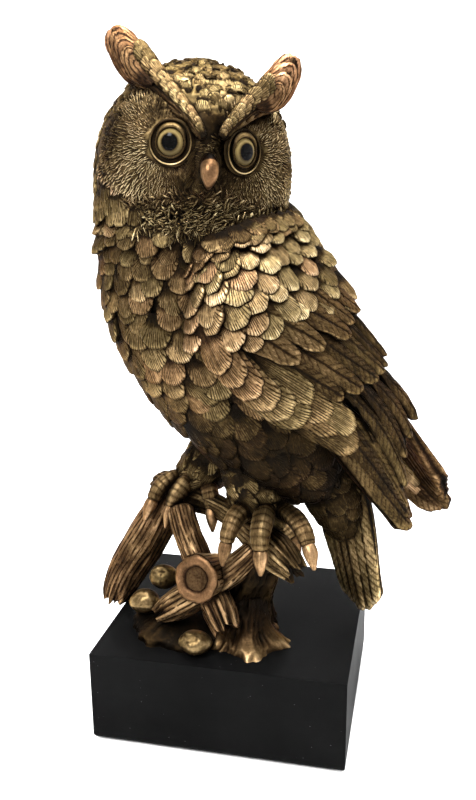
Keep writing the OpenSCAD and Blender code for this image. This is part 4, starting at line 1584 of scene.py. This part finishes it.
def claws(hand):
    """Curved claws that go on from the toes and bend down."""
    skin = Skin()
    for k, toe in enumerate(TOES[hand]):
        end = vec(*toe[-1][:3])
        d = unit(end - vec(*toe[-2][:3]))
        r = toe[-1][3]
        bent = unit(d + vec(0, 0, -0.5))
        rows = (
            (*(end - d * 2), r * 0.9),
            (*(end + d * CLAW * 0.25), r * 1.0),
            (*(end + d * CLAW * 0.3 + bent * CLAW * 0.35), r * 0.7),
            (*(end + d * CLAW * 0.3 + bent * CLAW * 0.75), r * 0.2),
        )
        tube(skin, rows, count=34, sides=24, lumps=0.08, relief=0.62, tint=0.5, seed=k + 9)
    return skin.make(f"{hand}_talons", POLISHED, "copper_patina", (f"{hand}_claws",))


# ---------------------------------------------------------------- driftwood

LOG = (
    (-46, 17, 99, 5),
    (-40, 13, 100.5, 7.4),
    (-26, 5, 100, 6.8),
    (-6, -8, 99.5, 5.2),
    (10, -20, 95.5, 7),
    (23, -29, 90, 8),
    (33, -36, 84.5, 6),
)
PROP = (
    (-34, 8, 104, 6),
    (-37, 4, 96, 8.2),
    (-45, 1, 80, 9.6),
    (-56, -2, 62, 9.4),
    (-61.5, -4, 50, 8.2),
    (-63.5, -5, 45, 6),
)
CROSS_LEFT = (
    (-27, -8, 100, 6),
    (-22, -15, 90, 6.2),
    (-12, -26, 77, 6.4),
    (-3, -35, 66, 7.4),
    (3, -41, 57, 7.2),
)
CROSS_RIGHT = (
    (14, -27, 91, 5),
    (5, -30, 82, 6),
    (-9, -32, 71, 7),
    (-22, -31, 61, 7),
    (-31, -29, 54, 5.5),
)
STUB = ((-5.5, -24.5, 74.5, 8.8), (-8.5, -34, 77.5, 9.8), (-10.4, -41, 79.6, 10.4))
STUMP = ((5, -13, 44, 16), (5, -14, 52, 13.5), (7, -16, 62, 12), (11, -20, 73, 11), (15, -23, 85, 9))
ROOT = (
    (10, -26, 44, 17),
    (10, -26, 46.5, 14.5),
    (9, -25, 51, 10.5),
    (9, -24, 58, 8.5),
    (10, -23, 66, 6.5),
)
MOUND = ((-22, -18, 44, 25), (-22, -18, 47, 23.5), (-21, -17, 50.5, 18), (-20, -15, 53, 10))
BRANCHES = (
    ("perch_log", LOG, dict(seed=2, relief=0.47, tint=0.15, split=0.35)),
    ("prop_branch", PROP, dict(seed=3, relief=0.5, tint=0.45, split=0.35)),
    ("left_cross_branch", CROSS_LEFT, dict(seed=4, relief=0.56, tint=0.45, split=0.42)),
    ("right_cross_branch", CROSS_RIGHT, dict(seed=5, relief=0.6, tint=0.4, split=0.35)),
)
# name, middle, radius, how much it is squashed
PEBBLES = (
    ("left_pebble", (-41, -22, 55.5), 6.6, 0.95),
    ("back_pebble", (-34, -14, 65), 6.4, 0.9),
    ("front_pebble", (-11, -42.5, 49.5), 6.6, 0.75),
)


def branch(node_name, rows, **style):
    skin = Skin()
    tube(skin, rows, count=120, sides=72, bark=0.9, lumps=0.09, **style)
    return skin.make(node_name + "_bark", PATINA, "bronze_patina", (node_name,))


def stub_frame():
    """(middle, outward, sideways, upward) of the sawn face."""
    end = vec(*STUB[-1][:3])
    out = unit(end - vec(*STUB[-2][:3]))
    across = unit(np.cross(out, vec(0, 0, 1)))
    return end, out, across, np.cross(across, out)


def sawn_stub():
    """A sawn branch end: bark outside, a rounded copper rim and a recess in its face."""
    skin = Skin()
    tube(skin, STUB, count=50, sides=64, bark=0.7, lumps=0.05, relief=0.6, tint=0.4, seed=6, blunt=False)
    # radius, how far out, brightness
    profile = (
        (9.8, -1.6, 0.2),
        (10.5, -0.3, 0.6),
        (10.1, 0.8, 0.85),
        (8.6, 1.3, 0.8),
        (6.8, 1.1, 0.7),
        (5.5, 0.4, 0.4),
        (5.2, -1.6, 0.02),
    )
    cols = 72
    f = turns(cols)
    points = []
    shade = []
    for r, deep, bright in profile:
        wavy = r * (1 + 0.02 * np.sin(5 * f) + 0.015 * np.sin(11 * f + r))
        points.append(ring(stub_frame(), wavy, deep, cols))
        shade.append(bright + 0.08 * np.sin(r * 9 + 2 * f))
    worn = np.clip(np.concatenate(shade), 0, 1) * 0.74
    skin.add(np.concatenate(points), grid_faces(len(profile), cols, wrap=True), worn, 0.65)
    return skin.make("sawn_stub_ring", PATINA, "copper_patina", ("sawn_stub",))


def stub_heart():
    """The rough dark disc at the bottom of the recess."""
    skin = Skin()
    place_at = stub_frame()
    rows = 14
    cols = 60
    points = np.concatenate([ring(place_at, r, -1.2, cols) for r in np.linspace(0, 5.4, rows)])
    rough = fractal(points / 1.3, 3, 2)
    points = points + place_at[1] * (0.35 * rough)[:, None]
    skin.add(points, grid_faces(rows, cols, wrap=True), np.clip(0.04 + 0.1 * rough, 0, 1))
    return skin.make("sawn_stub_core", DARK_AND_SHADED, "dark_bronze", ("sawn_stub_heart",))


def flowing(rows, lobes, ripple, seed, tint=0.1, relief=0.5, fade=0.65):
    """A flared root or mound: level rings that ripple into lobes, grooved down their length."""
    skin = Skin()
    count = 60
    sides = 140
    f = turns(sides)
    points = []
    shade = []
    for i in range(count):
        x, y, z, radius = rail(rows, i / (count - 1))
        low = 1 - i / (count - 1)
        grain = noise(wound(f, 3.2, z / 22) * vec(2.2, 2.2, 4.0) + seed, seed)
        ridge = 1 - np.abs(grain)
        wave = np.sin(lobes * f + seed + 1.5 * math.sin(low * 2.2))
        r = radius * (1 + ripple * wave * (0.35 + 0.65 * low)) + 2.0 * (ridge - 0.6)
        points.append(wound(f, r, 0.0) + vec(x, y, z))
        # painted shade: darker upwards by fade, in the shade of the log and the owl above; the lobes'
        # bulges are rubbed brighter
        shade.append((relief - 0.4 + 0.6 * ridge + 0.22 * wave) * (1 - fade + fade * low))
    points = np.concatenate(points)
    skin.add(points, grid_faces(count, sides, wrap=True), np.clip(np.concatenate(shade), 0, 1), tint)
    top = points[-sides:]
    hub = np.concatenate([top, [top.mean(axis=0) + vec(0, 0, 1.0)]])
    skin.add(hub, [[k, (k + 1) % sides, sides] for k in range(sides)], 0.25, tint)
    return skin


def driftwood():
    for node_name, rows, style in BRANCHES:
        branch(node_name, rows, **style)
    sawn_stub()
    stub_heart()
    stump = flowing(STUMP, 5, 0.07, 3)
    stump.make("stump_bark", DARK_AND_SHADED, "dark_bronze", ("stump",))
    # fade above 1 leaves the root flare's top in deep painted shade
    root = flowing(ROOT, 5, 0.14, 7, tint=0.3, relief=0.72, fade=1.1)
    root.make("root_flare_wood", PATINA, "bronze_patina", ("root_flare",))
    mound = flowing(MOUND, 7, 0.05, 9, relief=0.22)
    mound.make("driftwood_mound_wood", DARK_AND_SHADED, "dark_bronze", ("driftwood_mound",))


def pebble(node_name, centre, radius, squash, seed):
    """A smooth river stone with a few shallow pits."""
    skin = Skin()
    rows = 40
    cols = 60
    f = turns(cols)
    ball = [wound(f, math.cos(e), math.sin(e)) for e in np.linspace(-math.pi / 2, math.pi / 2, rows)]
    ball = np.concatenate(ball)
    lump = fractal(ball * 1.3 + seed * 5, 2, seed)
    pits = np.minimum(noise(ball * 5 + seed, seed + 3) + 0.35, 0)
    stone = ball * (radius * (1 + 0.07 * lump + 0.05 * pits))[:, None] * vec(1.12, 0.95, squash)
    worn = np.clip(0.62 + 0.12 * lump + 0.6 * pits, 0, 1)
    skin.add(vec(*centre) + stone, grid_faces(rows, cols, wrap=True), worn, 0.12)
    return skin.make(node_name + "_stone", POLISHED, "bronze_patina", (node_name,))


# ---------------------------------------------------------------- the scene


def build():
    """Every visual piece, in the order in which they draw random numbers."""
    breast_plumage()
    mantle_plumage()
    for hand in HANDS:
        thigh_plumage(hand)
    ruff_plumage()
    flight_plumage("left", 0.06, 0.0)
    flight_plumage("right", 0.35, 0.7)
    for hand in HANDS:
        covert_plumage(hand)
    tail_plumage()
    tail_covert_plumage()
    head_plumage()
    for make in (face_disc, eyeball, eye_ring):
        for hand in HANDS:
            make(hand)
    beak()
    for make in (ear_tuft, foot, claws):
        for hand in HANDS:
            make(hand)
    driftwood()
    for k, (node_name, centre, radius, squash) in enumerate(PEBBLES):
        pebble(node_name, centre, radius, squash, k + 1)


def paint_carried_nodes():
    """The three CAD nodes that stay as they are get their materials."""
    carried = {
        "plinth": plinth_material(),
        "felt_pad": felt_material(),
        "fixing_screws": zinc_material(),
    }
    for node_name, material in carried.items():
        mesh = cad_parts[node_name].data
        mesh.materials.clear()
        mesh.materials.append(material)


def camera():
    data = bpy.data.cameras.new("camera")
    data.sensor_width = 36.0
    data.sensor_fit = "AUTO"
    data.lens = 38.25
    obj = bpy.data.objects.new("camera", data)
    bpy.context.scene.collection.objects.link(obj)
    turn = Euler([math.radians(angle) for angle in (74.908, 0.452, 12.530)]).to_matrix().to_4x4()
    turn.translation = (0.08209, -0.36684, 0.25169)
    obj.matrix_world = turn
    bpy.context.scene.camera = obj


def area_light(name, at, aim, size, power, colour=(1, 1, 1)):
    data = bpy.data.lights.new(name, "AREA")
    data.shape = "RECTANGLE"
    data.size = size[0]
    data.size_y = size[1]
    data.energy = power
    data.color = colour
    obj = bpy.data.objects.new(name, data)
    bpy.context.scene.collection.objects.link(obj)
    obj.location = at
    obj.rotation_euler = (Vector(aim) - Vector(at)).to_track_quat("-Z", "Y").to_euler()


def studio():
    """A round sweep of pale paper below and on all sides, and soft boxes above and in front."""
    # radius and height, in metres
    floor = ((0.01, 0.0), (0.7, 0.0), (1.25, 0.0))
    profile = floor + ((1.45, 0.03), (1.58, 0.11), (1.65, 0.26), (1.67, 0.5), (1.67, 1.9))
    cols = 96
    points = [(r * math.cos(f), r * math.sin(f), z) for r, z in profile for f in turns(cols)]
    mesh = bpy.data.meshes.new("studio_sweep")
    mesh.from_pydata(points, [], grid_faces(len(profile), cols, wrap=True).tolist())
    mesh.polygons.foreach_set("use_smooth", [True] * len(mesh.polygons))
    sweep = bpy.data.objects.new("studio_sweep", mesh)
    bpy.context.scene.collection.objects.link(sweep)
    mesh.materials.append(floor_material())
    world = bpy.data.worlds.new("studio")
    world.use_nodes = True
    tree = world.node_tree
    facing = node(tree, "ShaderNodeTexCoord").outputs["Generated"]
    split = node(tree, "ShaderNodeSeparateXYZ")
    tree.links.new(facing, split.inputs[0])
    height = math_node(tree, "MULTIPLY_ADD", split.outputs[2], 0.5, 0.5)
    glow = ramp_node(tree, height, ((0.45, 0.12), (0.62, 0.24), (0.95, 0.9)))
    tree.links.new(glow, tree.nodes["Background"].inputs[0])
    tree.nodes["Background"].inputs[1].default_value = 1.0
    bpy.context.scene.world = world
    area_light("key", (-0.22, -0.6, 0.85), (0.0, 0.0, 0.18), (0.25, 0.25), 11)
    area_light("top", (0.12, -0.1, 1.0), (0.0, 0.0, 0.2), (0.4, 0.3), 11)
    area_light("backdrop", (0.0, 0.35, 1.1), (0.0, 0.8, 0.0), (1.6, 0.3), 30)


bpy.context.scene.view_settings.view_transform = "Standard"
camera()
studio()
build()
paint_carried_nodes()
